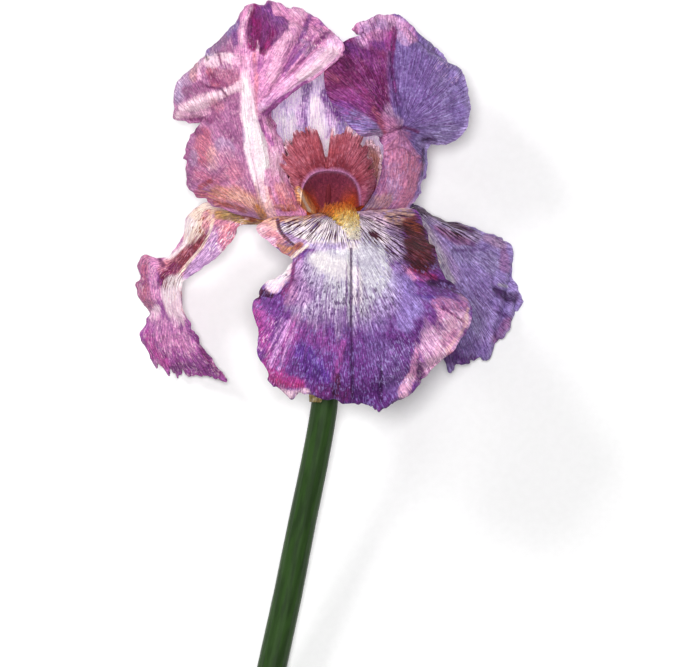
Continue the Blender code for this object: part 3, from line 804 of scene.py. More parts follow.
def paint_standard_left(reading):
    """Folded along its rib: shaded and ruffled on the left, sunlit and striped on the right."""
    paint = Paint(reading, "orchid", 1)
    shaded_left_half = 1 - ramp(reading.u, 0.44, 0.5)
    right_half = 1 - shaded_left_half
    left = paint.brush("ground", shaded_left_half)
    right = paint.brush("ground", right_half)
    ground, stripe, vein, fleck = map(paint.brush, LAYERS)
    # The mauve over the left half is partly its own colour and partly painted shade, as that half lies in
    # shade.
    paint.lay("ground", "mauve", 1, shaded_left_half)
    left("lavender", [(236, 26, 6), (226, 34, 8), (214, 46, 9), (211, 54, 6)])
    left("heather", [(226, 40, 6), (216, 50, 6), (230, 50, 5)], 0.7, 0.6)
    left("violet", [(234, 36, 5), (236, 48, 4)], 0.8, 0.5)
    left("dusty lilac", [(196, 64, 7), (184, 80, 9), (178, 98, 7)])
    left("lilac grey", [(180, 84, 4), (177, 98, 4)], 0.6)
    left("heather", [(186, 91, 4), (206, 90, 5)], 0.8)
    left("terracotta", [(196, 66, 4), (194, 78, 4)], 0.5, 0.5)
    left("shell pink", [(204, 63, 2.5), (200, 70, 2), (200, 79, 2)], 0.7, 0.4)
    # Painted light on the left half's ruffles: the blush and shell pink bands on the raised ridges are
    # painted highlights, and the old rose, rosy mauve, wine and deep plum strokes in the grooves between are
    # painted shade.
    left("old rose", [(212, 74, 6), (217, 84, 6)], soft=0.3)
    left("rosy mauve", [(222, 76, 6), (236, 77, 8), (226, 85, 5)], 0.9, soft=0.3)
    left("wine", [(210, 78, 4), (226, 86, 3.5)], 0.7, 0.5)
    left("blush", [(209, 62, 4), (217, 62, 4.5)], 0.9, 0.5, 0.3)
    left("blush", [(224, 58, 4), (232, 60, 5), (240, 62, 4)], ragged=0.35, soft=0.2)
    left("maroon", [(207, 58, 1.6), (209, 61, 1)], 0.9, 0.1)
    left("wine", [(219, 55, 1.5), (222, 63, 1.6)], 0.9, 0.2)
    left(
        "blush", [(240, 88, 5), (230, 92, 4), (218, 97, 5), (204, 102, 6), (184, 109, 6), (179, 115, 5)],
        ragged=0.5, soft=0.35,
    )
    left("shell pink", [(180, 114, 4), (196, 115, 3), (210, 112, 3)], 0.7, 0.4)
    ground("deep plum", [(200, 83, 1), (210, 88, 1.4), (222, 90, 1.3), (228, 97, 1.2)], 0.9, 0.1)
    left("wine", [(190, 119, 1.6), (204, 119, 2.5), (212, 122, 3)], 0.85)
    left("wine", [(217, 108, 4), (216, 116, 5)], 0.5, 0.5, 0.5)
    left("heather", [(236, 100, 5), (234, 116, 6), (236, 134, 7), (241, 146, 4)], 0.6, 0.5)
    left("rose", [(216, 104, 5), (222, 108, 6)], 0.5, 0.6)
    left("wine", [(222, 120, 5), (230, 136, 5)], 0.4, 0.6)
    left("old rose", [(206, 134, 7), (203, 146, 8), (206, 160, 7)], soft=0.5)
    left("wine", [(197, 132, 4), (202, 133, 2.5)], 0.85, soft=0.3)
    left("rose", [(202, 142, 5), (212, 148, 5)], 0.5, 0.6)
    left("heather", [(191, 156, 6), (190, 170, 6), (190, 182, 5)], 0.85)
    left("dusty lilac", [(195, 154, 3), (193, 162, 3)], 0.6, 0.7)
    left("peach", [(214, 152, 5), (214, 166, 5)], 0.4, soft=0.8)
    left("dusty lilac", [(222, 145, 6), (230, 150, 6)], 0.9, 0.5)
    left("rosy mauve", [(228, 160, 9), (234, 172, 10), (240, 182, 8)], 0.6, soft=0.7)
    left("rose", [(236, 172, 7), (224, 178, 6)], 0.45, soft=0.8)
    left("old rose", [(200, 176, 6), (216, 182, 6)], 0.7, soft=0.7)
    left("brick", [(201, 187, 2.6), (212, 181, 2)], 0.95)
    left("old rose", [(199, 194, 5), (212, 198, 5), (224, 201, 4)], 0.9)
    left("salmon", [(216, 193, 5), (234, 195, 8), (252, 201, 7)], 0.75, 0.1, 0.7)
    left("peach", [(232, 194, 4), (246, 198, 5), (258, 205, 5)], 0.5, soft=0.7)
    left("rust", [(216, 203, 3), (234, 206, 3), (246, 211, 2.5)], 0.85)
    left("amber", [(258, 208, 4), (264, 216, 4)], 0.9)
    # Painted light on the pleats of the right half: shell pink and orchid on the raised ridges are painted
    # highlights, and violet and grape in the grooves are painted shade.
    ground("shell pink", [(300, 16, 5), (290, 34, 7), (280, 54, 8), (272, 78, 6)], 0.7, 0.6)
    ground("violet", [(310, 17, 3), (303, 36, 2.6), (290, 62, 1)], 0.85, 0.8)
    ground("violet", [(321, 25, 3.4), (309, 43, 2.6), (293, 66, 1)], 0.85, 0.8)
    ground("grape", [(329, 34, 2.6), (316, 46, 2.2), (298, 66, 1)], 0.8, 0.8)
    ground("orchid", [(319, 28, 2.5), (308, 41, 2.5), (301, 48, 1.8)], 0.95, 0.2)
    ground("lilac", [(303, 43, 2), (314, 50, 3), (306, 55, 3)], 0.7, 0.8)
    ground("magenta", [(298, 48, 2.5), (290, 62, 3.5), (284, 76, 3)], 0.75, 0.6)
    ground("violet", [(296, 58, 2), (287, 72, 2)], 0.6, 0.4)
    right("rose", [(255, 56, 2), (257, 84, 2.4), (256, 114, 1.8)], 0.85, 0.4)
    right("magenta", [(262, 60, 3), (260, 72, 2.5)], 0.5, 0.6)
    # Painted shade: the mulberry, grape, violet and deep violet strokes darken the sunken pocket at the top
    # of the right half.
    right("mulberry", [(260, 8, 8), (258, 28, 10), (254, 46, 7)], ragged=0.2, soft=0.2)
    right("mulberry", [(272, 18, 9), (271, 34, 9), (264, 52, 5)], ragged=0.3, soft=0.2)
    right("grape", [(268, 14, 5), (267, 32, 5), (262, 48, 3)], 0.7, 0.6)
    right("grape", [(272, 18, 6), (278, 22, 8), (282, 30, 6)], 0.95, 0.3, 0.3)
    right("violet", [(267, 8, 4), (276, 19, 4), (285, 24, 4)], 0.8, 0.5, 0.4)
    right("mulberry", [(252, 14, 2.4), (250, 30, 3.4), (251, 46, 3)], 0.8, 0.2)
    right("grape", [(250, 20, 2), (249, 38, 2.4)], 0.6, 0.3)
    right("violet", [(260, 8, 4), (258, 16, 4)], 0.5, 0.4)
    right("grape", [(286, 24, 2.5), (281, 36, 3), (272, 46, 2)], 0.8, soft=0.3)
    right("deep violet", [(271, 3, 2.4), (266, 8, 2)], 0.7, soft=0.3)
    right("shell pink", [(258, 42, 1), (258, 52, 1.6)], ragged=0.2, soft=0.3)
    right("orchid", [(277, 7, 4.5), (278, 13, 4.5), (287, 15, 3)], ragged=0.1, soft=0.2)
    right("shell pink", [(277, 8, 3.5), (278, 12, 3.5)], 0.8, 0.1)
    ground("shell pink", [(292, 15, 3), (300, 14, 4)], 0.9, 0.4)
    # The pink lilac, blush and orchid band along the raised right margin is partly its own colour and partly
    # painted sunlight.
    ground(
        "pink lilac", [(262, 108, 4), (284, 92, 6), (308, 73, 8), (330, 54, 9), (336, 44, 7)],
        ragged=0.15, soft=0.2,
    )
    ground("blush", [(300, 78, 4), (316, 68, 5), (334, 53, 6)], 0.85, 0.4)
    ground("orchid", [(268, 104, 3), (282, 92, 3), (296, 82, 3)], 0.6, 0.4)
    right("mauve", [(264, 120, 6), (271, 131, 7), (279, 148, 5)], 0.95, soft=0.25)
    right("magenta", [(266, 116, 4), (278, 104, 4), (290, 95, 3), (306, 84, 2.5)], soft=0.2)
    ground("orchid", [(250, 7, 2), (243, 20, 2.2), (241, 34, 2.2), (241, 52, 2)], 0.9, 0.1)
    ground("blush", [(251, 8, 1), (243, 26, 1.2), (242, 48, 1.4)], 0.7, 0.2)
    ground("orchid", [(240, 50, 4), (242, 64, 5), (246, 76, 5)], 0.7, 0.3)
    ground("shell pink", [(247, 58, 3), (247, 72, 4)], 0.7, 0.4)
    ground("blush", [(246, 76, 4), (248, 92, 6), (249, 104, 7), (250, 118, 7)], 0.95)
    ground("snow", [(246, 82, 2.5), (247, 96, 4), (248, 118, 5)], 0.9)
    ground(
        "snow", [(249, 114, 6), (253, 130, 8), (257, 148, 12), (260, 166, 10), (261, 182, 7)],
        ragged=0.08, soft=0.15,
    )
    ground("peach", [(261, 186, 6), (266, 202, 6), (273, 216, 4)], 0.75, 0.1)
    ground("blush", [(260, 184, 4), (264, 200, 3)], 0.8, 0.3)
    ground("blush", [(252, 126, 1.2), (254, 166, 1.6), (262, 196, 1.6)], 0.7)
    ground("dusty lilac", [(244, 130, 1.4), (245, 142, 1.4)], 0.8, 0.2)
    # The crumpled inner ruffle: the magenta and wine lines are painted shade in its folds, and the shell pink
    # spots and the patch below are painted highlights.
    ground("orchid", [(264, 121, 4), (268, 131, 6), (276, 142, 5), (280, 150, 3)], 0.95, 0.3)
    ground("magenta", [(260, 121, 2), (263, 131, 2), (270, 139, 1.6), (273, 146, 1.4)], 0.8)
    ground("wine", [(271, 118, 1), (275, 127, 1.1), (278, 131, 1)], 0.8, 0.1)
    ground("shell pink", [(267, 122, 2), (270, 132, 2)], 0.7, 0.9)
    ground("shell pink", [(272, 152, 5), (277, 162, 7), (276, 172, 5)], ragged=0.3)
    ground("orchid", [(268, 172, 3), (267, 184, 2.6)], 0.95, 0.2)
    ground("rose", [(284, 190, 8), (292, 202, 9)], 0.95, soft=0.5)
    ground("shell pink", [(279, 170, 3), (280, 186, 3), (288, 196, 3)], 0.6, 0.8)
    ground("old rose", [(269, 188, 1.4), (272, 198, 1.6), (276, 205, 1.6)], 0.9)
    ground("terracotta", [(276, 207, 2.6), (292, 208, 3)], 0.9)
    ground("rust", [(282, 210, 1.4), (296, 210, 1.4)], 0.8, 0.5)
    ground("salmon", [(298, 196, 3), (305, 206, 5), (314, 214, 4)], 0.95)
    left("orchid", [(237, 50, 4), (237, 68, 5)], 0.6, 0.4)
    left("heather", [(190, 94, 6), (202, 90, 6)], 0.5, 0.5)
    right("shell pink", [(279, 142, 4), (282, 158, 6), (282, 178, 6)], 0.6, 0.6)
    right("salmon", [(280, 186, 4), (284, 200, 5), (296, 208, 4)], 0.4, 0.5)
    right("blush", [(275, 156, 4), (277, 168, 4)], 0.5, 0.5)
    paint.lay("vein", "heather", 0.5, shaded_left_half)
    paint.lay("vein", "magenta", 0.5, right_half)
    vein("deep violet", [(236, 26, 8), (222, 46, 12)], 0.7, only=shaded_left_half)
    paint.lay("stripe", "heather", 0.3, shaded_left_half)
    paint.lay("stripe", "mauve", 0.4, right_half)
    stripe("deep plum", [(256, 20, 10), (264, 44, 10)], 0.6, only=right_half)
    stripe("plum", [(290, 52, 12), (316, 36, 14)], 0.5, only=right_half)
    stripe("wine", [(252, 56, 7), (264, 62, 6)], 0.4, only=right_half)
    stripe("blush", [(206, 62, 8), (236, 62, 8)], 0.4, only=shaded_left_half)
    stripe("terracotta", [(206, 192, 7), (236, 196, 9), (264, 208, 8)], 0.9, only=shaded_left_half)
    stripe("blush", [(252, 132, 8), (258, 160, 10), (270, 205, 5)], 0.3)
    stripe("blush", [(284, 90, 5), (312, 70, 7), (332, 50, 9)], 0.2, only=right_half)
    vein("shell pink", [(246, 64, 8), (250, 120, 10), (258, 160, 13), (270, 205, 6)], 0.35)
    vein("orchid", [(284, 90, 5), (312, 70, 7), (332, 50, 9)], 0.5)
    stripe("old rose", [(282, 180, 10), (292, 206, 10)], 0.4)
    paint.wash("fleck", "blush", 0.16)
    fleck("plum", [(256, 14, 12), (270, 26, 14), (262, 44, 9)], 0.08, only=right_half)
    fleck("blush", [(246, 64, 8), (250, 120, 10), (258, 160, 13), (270, 205, 6)], 0.08)
    fleck("wine", [(204, 142, 9)], 0.3, only=shaded_left_half)
    fleck("blush", [(314, 46, 10)], 0.8, 0.5, only=right_half)
    paint.rim("ground", "mauve", 1.2, 0.4, only=right_half)
    paint.rim("ground", "heather", 1.2, 0.4, only=shaded_left_half)
    return paint


def paint_standard_right(reading):
    """Wine on the left of its crease, partly painted shade as that side lies in shade; lavender with fine
    veins on the right, rosy on the claw.
    """
    paint = Paint(reading, "lavender", 2)
    shaded_left_half = (1 - ramp(reading.u, 0.44, 0.52)) * ramp(reading.v, 0.4, 0.5)
    right_half = ramp(reading.u, 0.48, 0.54) * ramp(reading.v, 0.4, 0.5)
    left = paint.brush("ground", shaded_left_half)
    ground, stripe, vein, fleck = map(paint.brush, LAYERS)
    # The wine ground, and the darker plum, violet and night violet strokes over the left half, are partly
    # painted shade.
    paint.lay("ground", "wine", 1, shaded_left_half)
    # The pale lavender towards the right margin is partly painted highlight.
    paint.lay("ground", "pale lavender", 0.6, right_half * ramp(reading.u, 0.7, 0.95))
    ground("blue lavender", [(440, 56, 8), (452, 84, 9), (456, 112, 9)], 0.7, 0.5)
    left("deep plum", [(352, 62, 12), (372, 66, 12)], 0.7, 0.4)
    left("old rose", [(322, 76, 6), (338, 80, 6)], 0.55, 0.6)
    left("magenta", [(330, 96, 5), (352, 92, 5), (366, 102, 4)], 0.5, 0.9)
    left("deep plum", [(376, 76, 8), (382, 92, 9), (386, 108, 7)], ragged=0.5)
    left("deep violet", [(344, 50, 6), (354, 50, 7), (364, 56, 5)], 0.85)
    left("violet", [(334, 106, 6), (346, 110, 7), (350, 124, 7)], 0.9, 0.4)
    left("shade lavender", [(354, 120, 7), (366, 126, 8), (376, 132, 5)], 0.95)
    left("lilac grey", [(360, 134, 3), (380, 134, 4)], 0.8)
    left("old rose", [(374, 110, 3), (380, 122, 3.5), (386, 132, 4)], 0.8)
    ground("dusty lilac", [(386, 108, 4), (392, 118, 5), (400, 124, 4)], 0.9, 0.4)
    left("violet", [(380, 28, 7), (384, 44, 8), (376, 40, 7)], 0.8, 0.5)
    ground("hot magenta", [(391, 30, 5), (390, 48, 3.5)], 0.5, 0.6, 0.6)
    ground("orchid", [(358, 28, 5), (366, 30, 5), (364, 42, 4)], 0.95, 0.4)
    ground("shell pink", [(374, 18, 3), (384, 17, 3), (396, 20, 3)], 0.8, 0.4)
    ground("lilac", [(401, 28, 6), (405, 42, 6)], 0.95, 0.4, 0.25)
    ground("orchid", [(406, 28, 5), (412, 40, 4)], 0.6, 0.5)
    ground("lilac", [(364, 26, 6), (376, 24, 7), (388, 24, 6)], 0.75, 0.5)
    ground("orchid", [(366, 36, 5), (380, 36, 5)], 0.5, 0.8)
    # Painted shade: a dark plum line down the sunken crease.
    ground("plum", [(396, 32, 1.6), (393, 46, 2.5), (391, 66, 2), (395, 92, 2)], 0.85, 0.3)
    ground("grape", [(391, 60, 3), (393, 80, 4), (397, 104, 4)], 0.5, 0.5)
    ground("mauve", [(392, 124, 6), (396, 138, 12)], 0.9)
    ground("mauve", [(396, 146, 15), (402, 170, 20), (396, 196, 20)], soft=0.2)
    ground("dusty lilac", [(392, 172, 7), (396, 192, 8)], 0.7, 0.5)
    ground("rosy mauve", [(410, 158, 7), (412, 180, 8), (404, 202, 8)], 0.8)
    ground("orchid", [(385, 138, 2.5), (384, 158, 2.5)], 0.7)
    ground("tan", [(368, 204, 6), (386, 200, 6)], 0.55, 0.5)
    ground("rust", [(366, 211, 3), (384, 211, 3), (404, 212, 3)], 0.6, 0.3)
    # Painted shade: plum along the fold where the blade bends over the claw, and night violet in the shadow
    # at its lower right and down the groove below it.
    ground("plum", [(391, 132, 1.6), (404, 128, 1.8), (418, 132, 2)], 0.8, 0.1)
    ground("night violet", [(424, 140, 3), (434, 142, 3)], 0.9, soft=0.3)
    ground("night violet", [(422, 150, 1.2), (422, 184, 1.5)], 0.8, 0.1)
    left("deep plum", [(368, 78, 7), (374, 92, 9), (381, 106, 6)], 0.75, 0.4)
    left("grape", [(358, 56, 7), (370, 60, 8), (380, 66, 5)], 0.6, 0.6)
    ground("pink lilac", [(364, 24, 3), (374, 17, 3), (388, 18, 4), (400, 23, 4)], 0.7, 0.7)
    left("lilac", [(360, 36, 4), (368, 28, 6)], 0.7, 0.6)
    ground("orchid", [(384, 118, 4), (390, 128, 5), (394, 138, 5)], 0.6, 0.5)
    left("periwinkle", [(334, 112, 6), (350, 124, 7), (366, 130, 6)], 0.55, 0.6)
    ground("periwinkle", [(452, 76, 7), (462, 100, 6), (460, 124, 6)], 0.5, 0.5)
    left("night violet", [(366, 84, 6), (374, 94, 7)], 0.35, 0.5)
    left("violet", [(360, 104, 5), (366, 110, 5)], 0.4, 0.5)
    left("lilac", [(358, 40, 5), (364, 44, 5)], 0.5, 0.5)
    ground("rosy mauve", [(394, 150, 10), (402, 166, 12), (418, 168, 6)], 0.5, 0.5)
    # The bloom lavender rim along the right margin is a painted highlight.
    paint.rim("ground", "bloom lavender", 3.5, 0.6, only=ramp(reading.u, 0.6, 0.8))
    paint.rim("ground", "violet", 1.1, 0.4, only=1 - ramp(reading.u, 0.6, 0.8))
    paint.wash("vein", "deep violet", 0.6)
    paint.lay("vein", "magenta", 0.55, shaded_left_half)
    vein("old rose", [(398, 160, 22), (400, 190, 22)], 0.5)
    paint.wash("stripe", "deep violet", 0.3)
    paint.lay("stripe", "deep plum", 0.6, shaded_left_half)
    stripe("violet", [(432, 70, 22), (440, 110, 24)], 0.4, only=right_half)
    stripe("night violet", [(352, 122, 14), (374, 130, 9)], 0.6, only=shaded_left_half)
    stripe("plum", [(396, 150, 16), (404, 190, 18)], 0.25)
    stripe("pale lavender", [(427, 150, 4), (425, 180, 5)], 0.7)
    paint.wash("fleck", "bloom lavender", 0.25)
    paint.lay("fleck", "orchid", 0.14, shaded_left_half)
    # Painted highlights: pale lilac flecks.
    fleck("lilac", [(442, 66, 8), (450, 78, 8)], 0.9)
    fleck("shell pink", [(364, 24, 8), (388, 24, 10)], 0.35)
    return paint


def paint_standard_back(reading):
    """Pale lilac in the shade of the others, with a white flame up its rib."""
    paint = Paint(reading, "moonlight", 3)
    ground = paint.brush("ground")
    stripe = paint.brush("stripe")
    ground("lilac", [(345, 84, 18), (336, 106, 12), (340, 122, 10)], 0.95, 0.5)
    ground("violet", [(330, 94, 6), (338, 112, 6), (346, 104, 7)], 0.9, 0.8)
    ground("periwinkle", [(340, 126, 5), (346, 136, 4)], 0.7, 0.6)
    ground("bloom lavender", [(286, 100, 5), (286, 124, 5), (289, 150, 4)], 0.5, 0.8)
    ground("cool white", [(288, 116, 6), (294, 136, 8)], 0.85, 0.6)
    ground("snow", [(322, 170, 14), (319, 140, 11), (317, 112, 7), (314, 98, 4)], ragged=0.5)
    ground("snow", [(326, 154, 8), (332, 128, 4)], 0.9, 0.6)
    ground("violet", [(308, 84, 5), (305, 100, 4), (304, 116, 4), (307, 138, 2)], 0.85, 0.6)
    ground("lilac", [(300, 104, 4), (299, 122, 4)], 0.8, 0.7)
    ground("lilac", [(327, 112, 3), (331, 126, 2.4), (325, 138, 1.6)], 0.8, 0.8)
    ground("shade lavender", [(352, 116, 7), (348, 126, 6)], 0.6, 0.6)
    ground("tan", [(371, 142, 4), (376, 154, 5), (380, 164, 4)], 0.9)
    ground("snow", [(364, 141, 4), (367, 150, 3)], ragged=0.1)
    ground("violet", [(304, 108, 3), (306, 122, 3)], 0.5, 0.6)
    ground("snow", [(288, 122, 6), (291, 140, 7)], 0.55, 0.6)
    ground(
        "pale lavender", [(262, 120, 8), (276, 70, 10), (322, 54, 10), (372, 66, 10), (392, 120, 8)], 0.5,
    )
    paint.wash("vein", "lavender", 0.5)
    paint.wash("stripe", "lilac", 0.4)
    stripe("violet", [(340, 108, 12)], 0.6)
    paint.wash("fleck", "snow", 0.3)
    return paint


def paint_fall_front(reading):
    """White and striped by the beard, breaking into violet, with a sunlit pink margin."""
    paint = Paint(reading, "violet", 4)
    ground, stripe, vein, fleck = map(paint.brush, LAYERS)
    ground("deep violet", [(345, 392, 12), (378, 396, 12)], 0.7, 0.5)
    ground("blue violet", [(304, 352, 9), (312, 366, 10), (322, 374, 9)], 0.7, 0.7)
    ground("deep violet", [(300, 364, 8), (316, 380, 8)], 0.5, 0.6)
    ground("lavender", [(372, 340, 14), (390, 360, 16), (392, 384, 8)], 0.6, 0.6)
    ground("periwinkle", [(398, 286, 12), (408, 304, 14), (404, 322, 10)], 0.9, 0.5)
    ground("blue violet", [(408, 289, 6), (428, 293, 6), (448, 296, 4)], 0.85, 0.3)
    ground("magenta", [(258, 308, 8), (266, 322, 10), (264, 342, 8)], ragged=0.4)
    ground("violet", [(270, 304, 7), (286, 316, 8), (280, 332, 6)], 0.9, 0.5)
    ground("orchid", [(300, 316, 3), (289, 340, 4), (276, 368, 5)], 0.5, 0.8)
    ground("magenta", [(294, 330, 7), (282, 352, 10), (274, 372, 8)], 0.8, 0.5)
    ground("bright orchid", [(302, 318, 1), (290, 342, 1.8), (279, 370, 1.8)], 0.85, 0.6)
    ground("bright orchid", [(295, 316, 1), (283, 338, 2), (271, 366, 2)], 0.85, 0.6)
    ground("bright orchid", [(287, 320, 1), (276, 338, 1.6), (267, 356, 1.6)], 0.8, 0.6)
    ground("hot magenta", [(270, 344, 4), (267, 362, 5)], 0.5, 0.7)
    ground("hot magenta", [(272, 372, 6), (284, 378, 7), (300, 382, 5)], 0.85, 0.5)
    ground("raspberry", [(272, 379, 4), (284, 384, 4), (302, 385, 3)], 0.55, 0.5)
    ground("magenta", [(300, 326, 12), (318, 334, 12), (330, 346, 8)], 0.4, 0.9)
    ground("deep plum", [(322, 392, 8), (344, 394, 7)], 0.6, 0.6)
    ground("hot magenta", [(257, 312, 4), (262, 338, 4)], 0.5)
    ground("magenta", [(345, 336, 2), (339, 360, 3), (335, 378, 3)], 0.8, 0.5)
    # Painted shade: maroon in the groove at the foot of the magenta streak.
    ground("maroon", [(338, 376, 3.5), (336, 392, 4)], 0.8, 0.3)
    ground("lilac grey", [(312, 300, 18), (350, 312, 20), (376, 304, 16)], ragged=0.7, soft=0.5)
    ground("lilac", [(300, 262, 6), (300, 280, 8), (303, 297, 9)], 0.9, 0.5)
    ground("lilac grey", [(308, 262, 5), (311, 276, 7), (326, 288, 10), (346, 292, 10)], 0.9, 0.5)
    ground("mauve", [(292, 282, 5), (290, 298, 6)], 0.6, 0.7)
    # The cool white right of the rib is the white seen in shade: painted shade.
    ground("cool white", [(352, 256, 34), (356, 282, 32)], ragged=0.3)
    ground("cool white", [(372, 252, 16), (378, 284, 18)], ragged=0.3)
    ground("pearl", [(313, 259, 6), (328, 265, 9), (342, 272, 10)], 0.95, 0.25, 0.7)
    ground("snow", [(356, 272, 4), (357, 300, 5)], 0.6, 0.3)
    ground("snow", [(350, 234, 14), (330, 232, 15), (300, 230, 18), (280, 226, 12)], soft=0.3)
    # Painted shade: a grey band across the white below the haft.
    ground("lilac grey", [(306, 247, 3), (325, 248, 3.5), (344, 247, 3)], 0.9, 0.3)
    ground("lilac grey", [(372, 224, 10), (390, 236, 12), (398, 254, 8)], 0.7, 0.4)
    ground("blush", [(370, 216, 6), (388, 222, 7)], 0.5, 0.6)
    ground("tan", [(388, 215, 5), (402, 222, 8)], 0.85, 0.6)
    ground(
        "burgundy", [(411, 226, 9), (415, 240, 11), (419, 252, 13), (420, 263, 13)], ragged=0.35, soft=0.25,
    )
    ground("dark brown", [(406, 217, 6), (414, 228, 8)], 0.85, 0.5)
    ground("rust", [(402, 216, 4), (412, 224, 6)], 0.5, 0.7)
    ground("burgundy", [(427, 250, 6), (432, 266, 6)], 0.9, 0.3)
    ground("maroon", [(408, 260, 6), (420, 268, 6)], 0.7, 0.5)
    ground("raspberry", [(411, 273, 3.5), (421, 277, 4.5), (433, 278, 3.5)], 0.7)
    ground("magenta", [(412, 276, 2.5), (426, 280, 3)], 0.8, 0.4)
    ground("orchid", [(402, 267, 2), (412, 279, 3)], 0.8, 0.3)
    # Painted shade: violet and smoky violet down the sunken fold across the right lobe.
    ground("violet", [(414, 290, 5), (436, 292, 5), (458, 297, 4)], 0.8, 0.3, 0.3)
    ground("smoky violet", [(428, 283, 3), (442, 284, 4.5), (456, 289, 5), (466, 295, 4)], 0.95, 0.3)
    # The pink lilac, shell pink and orchid of the right margin are partly their own colour and partly painted
    # sunlight.
    ground(
        "pink lilac", [(455, 317, 13), (444, 336, 18), (432, 357, 14), (420, 375, 9)], ragged=0.6,
    )
    # Painted shade: mauve on the shaded side of the ridge below the fold.
    ground("mauve", [(436, 304, 5), (462, 306, 5)], 0.8, 0.5)
    ground("orchid", [(440, 312, 6), (432, 340, 5)], 0.6, 0.9)
    ground("orchid", [(416, 350, 3), (412, 372, 4), (404, 390, 5)], 0.8, 0.3)
    ground("shell pink", [(452, 324, 8), (443, 344, 9), (430, 366, 7)], 0.9, 0.6)
    ground("pink lilac", [(432, 334, 7), (425, 350, 7)], 0.85, 0.6)
    ground("peach", [(466, 309, 2), (464, 324, 2), (458, 335, 2), (446, 350, 2)], 0.5, 0.5)
    ground("orchid", [(452, 332, 4), (446, 342, 4)], 0.7, 0.6)
    # Painted shade: a plum line in the crease.
    ground("plum", [(442, 308, 1.4), (452, 314, 1.6), (462, 321, 1.4)], 0.8, 0.2)
    # Painted shade: a dark line down the pinch.
    ground("deep violet", [(417, 360, 2.5), (420, 376, 4.5), (417, 384, 4)], 0.9, 0.2)
    ground("shell pink", [(409, 376, 4), (403, 392, 5)], 0.9, 0.3)
    ground("old rose", [(450, 352, 2), (438, 366, 2)], 0.8, 0.3)
    ground("blush", [(352, 212, 5), (380, 208, 6), (404, 210, 5)], 0.9)
    ground("tan", [(376, 210, 4), (408, 214, 5)], 0.7)
    ground("apricot", [(262, 217, 5), (284, 216, 7), (308, 217, 6), (330, 212, 6)], 0.85, 0.4)
    ground("peach", [(261, 228, 6), (272, 228, 6)], ragged=0.2, soft=0.2)
    ground("shell pink", [(262, 233, 5), (270, 239, 5), (277, 245, 3)], ragged=0.2, soft=0.3)
    ground("blush", [(262, 229, 4), (270, 232, 4), (274, 238, 3)], 0.8, 0.3)
    ground("rose", [(270, 236, 3), (277, 235, 3.5), (282, 241, 3)], 0.8, 0.4)
    ground("lilac", [(286, 236, 3), (296, 241, 3), (306, 243, 2)], 0.9, 0.3)
    ground(
        "terracotta", [(279, 246, 1.5), (286, 251, 4), (294, 252, 6), (301, 247, 4)], ragged=0.1, soft=0.2,
    )
    ground("rust", [(290, 250, 3), (300, 248, 3)], 0.8, 0.3)
    ground("maroon", [(278, 221, 1.6), (280, 230, 2), (286, 239, 2), (294, 246, 1.6)], 0.95, 0.1)
    ground("blush", [(288, 265, 5), (281, 274, 8), (274, 285, 8)], ragged=0.1, soft=0.2)
    ground("blush", [(288, 265, 5), (283, 276, 8), (275, 286, 7)], ragged=0.1, soft=0.2)
    ground("snow", [(287, 265, 4), (280, 275, 7), (272, 284, 5)], 0.9, 0.1)
    ground("cream", [(308, 247, 1.6), (299, 253, 1.6), (290, 260, 1.6)], ragged=0.1)
    # Painted shade: plum along the edge of the rolled flap and maroon under it.
    ground("plum", [(302, 257, 1.6), (295, 265, 1.6), (293, 280, 2.4), (284, 294, 3)], 0.85, 0.4)
    ground("maroon", [(272, 296, 3), (262, 292, 4), (258, 298, 3)], 0.9)
    ground("blush", [(281, 391, 3), (294, 394, 4.5), (307, 392, 4)], 0.95, 0.2)
    ground("bloom lavender", [(397, 270, 7), (395, 290, 10), (383, 312, 12)], 0.55, 0.6)
    ground("bloom lavender", [(364, 326, 8), (382, 326, 8)], 0.4, 0.7)
    ground("periwinkle", [(406, 280, 5), (410, 290, 6)], 0.6, 0.4)
    ground("violet", [(340, 312, 4), (344, 328, 6), (353, 334, 6)], 0.4, 0.7)
    ground("bright orchid", [(286, 322, 4), (280, 334, 5)], 0.3, 0.8)
    ground("violet", [(298, 276, 4), (298, 286, 5)], 0.35, 0.6)
    ground("cream", [(290, 222, 4), (304, 224, 4), (318, 226, 4)], 0.6, 0.4)
    ground("dark brown", [(394, 222, 5), (398, 232, 5)], 0.4, 0.6)
    ground("olive", [(280, 244, 3), (292, 251, 5)], 0.45, 0.4)
    ground("terracotta", [(264, 226, 5), (270, 234, 5), (278, 236, 3)], 0.35, 0.5)
    # More smoky violet as painted shade in the same fold.
    ground("smoky violet", [(436, 288, 5), (446, 292, 4)], 0.35, 0.4)
    ground("snow", [(364, 222, 5), (376, 230, 7), (384, 240, 6)], 0.5, 0.4)
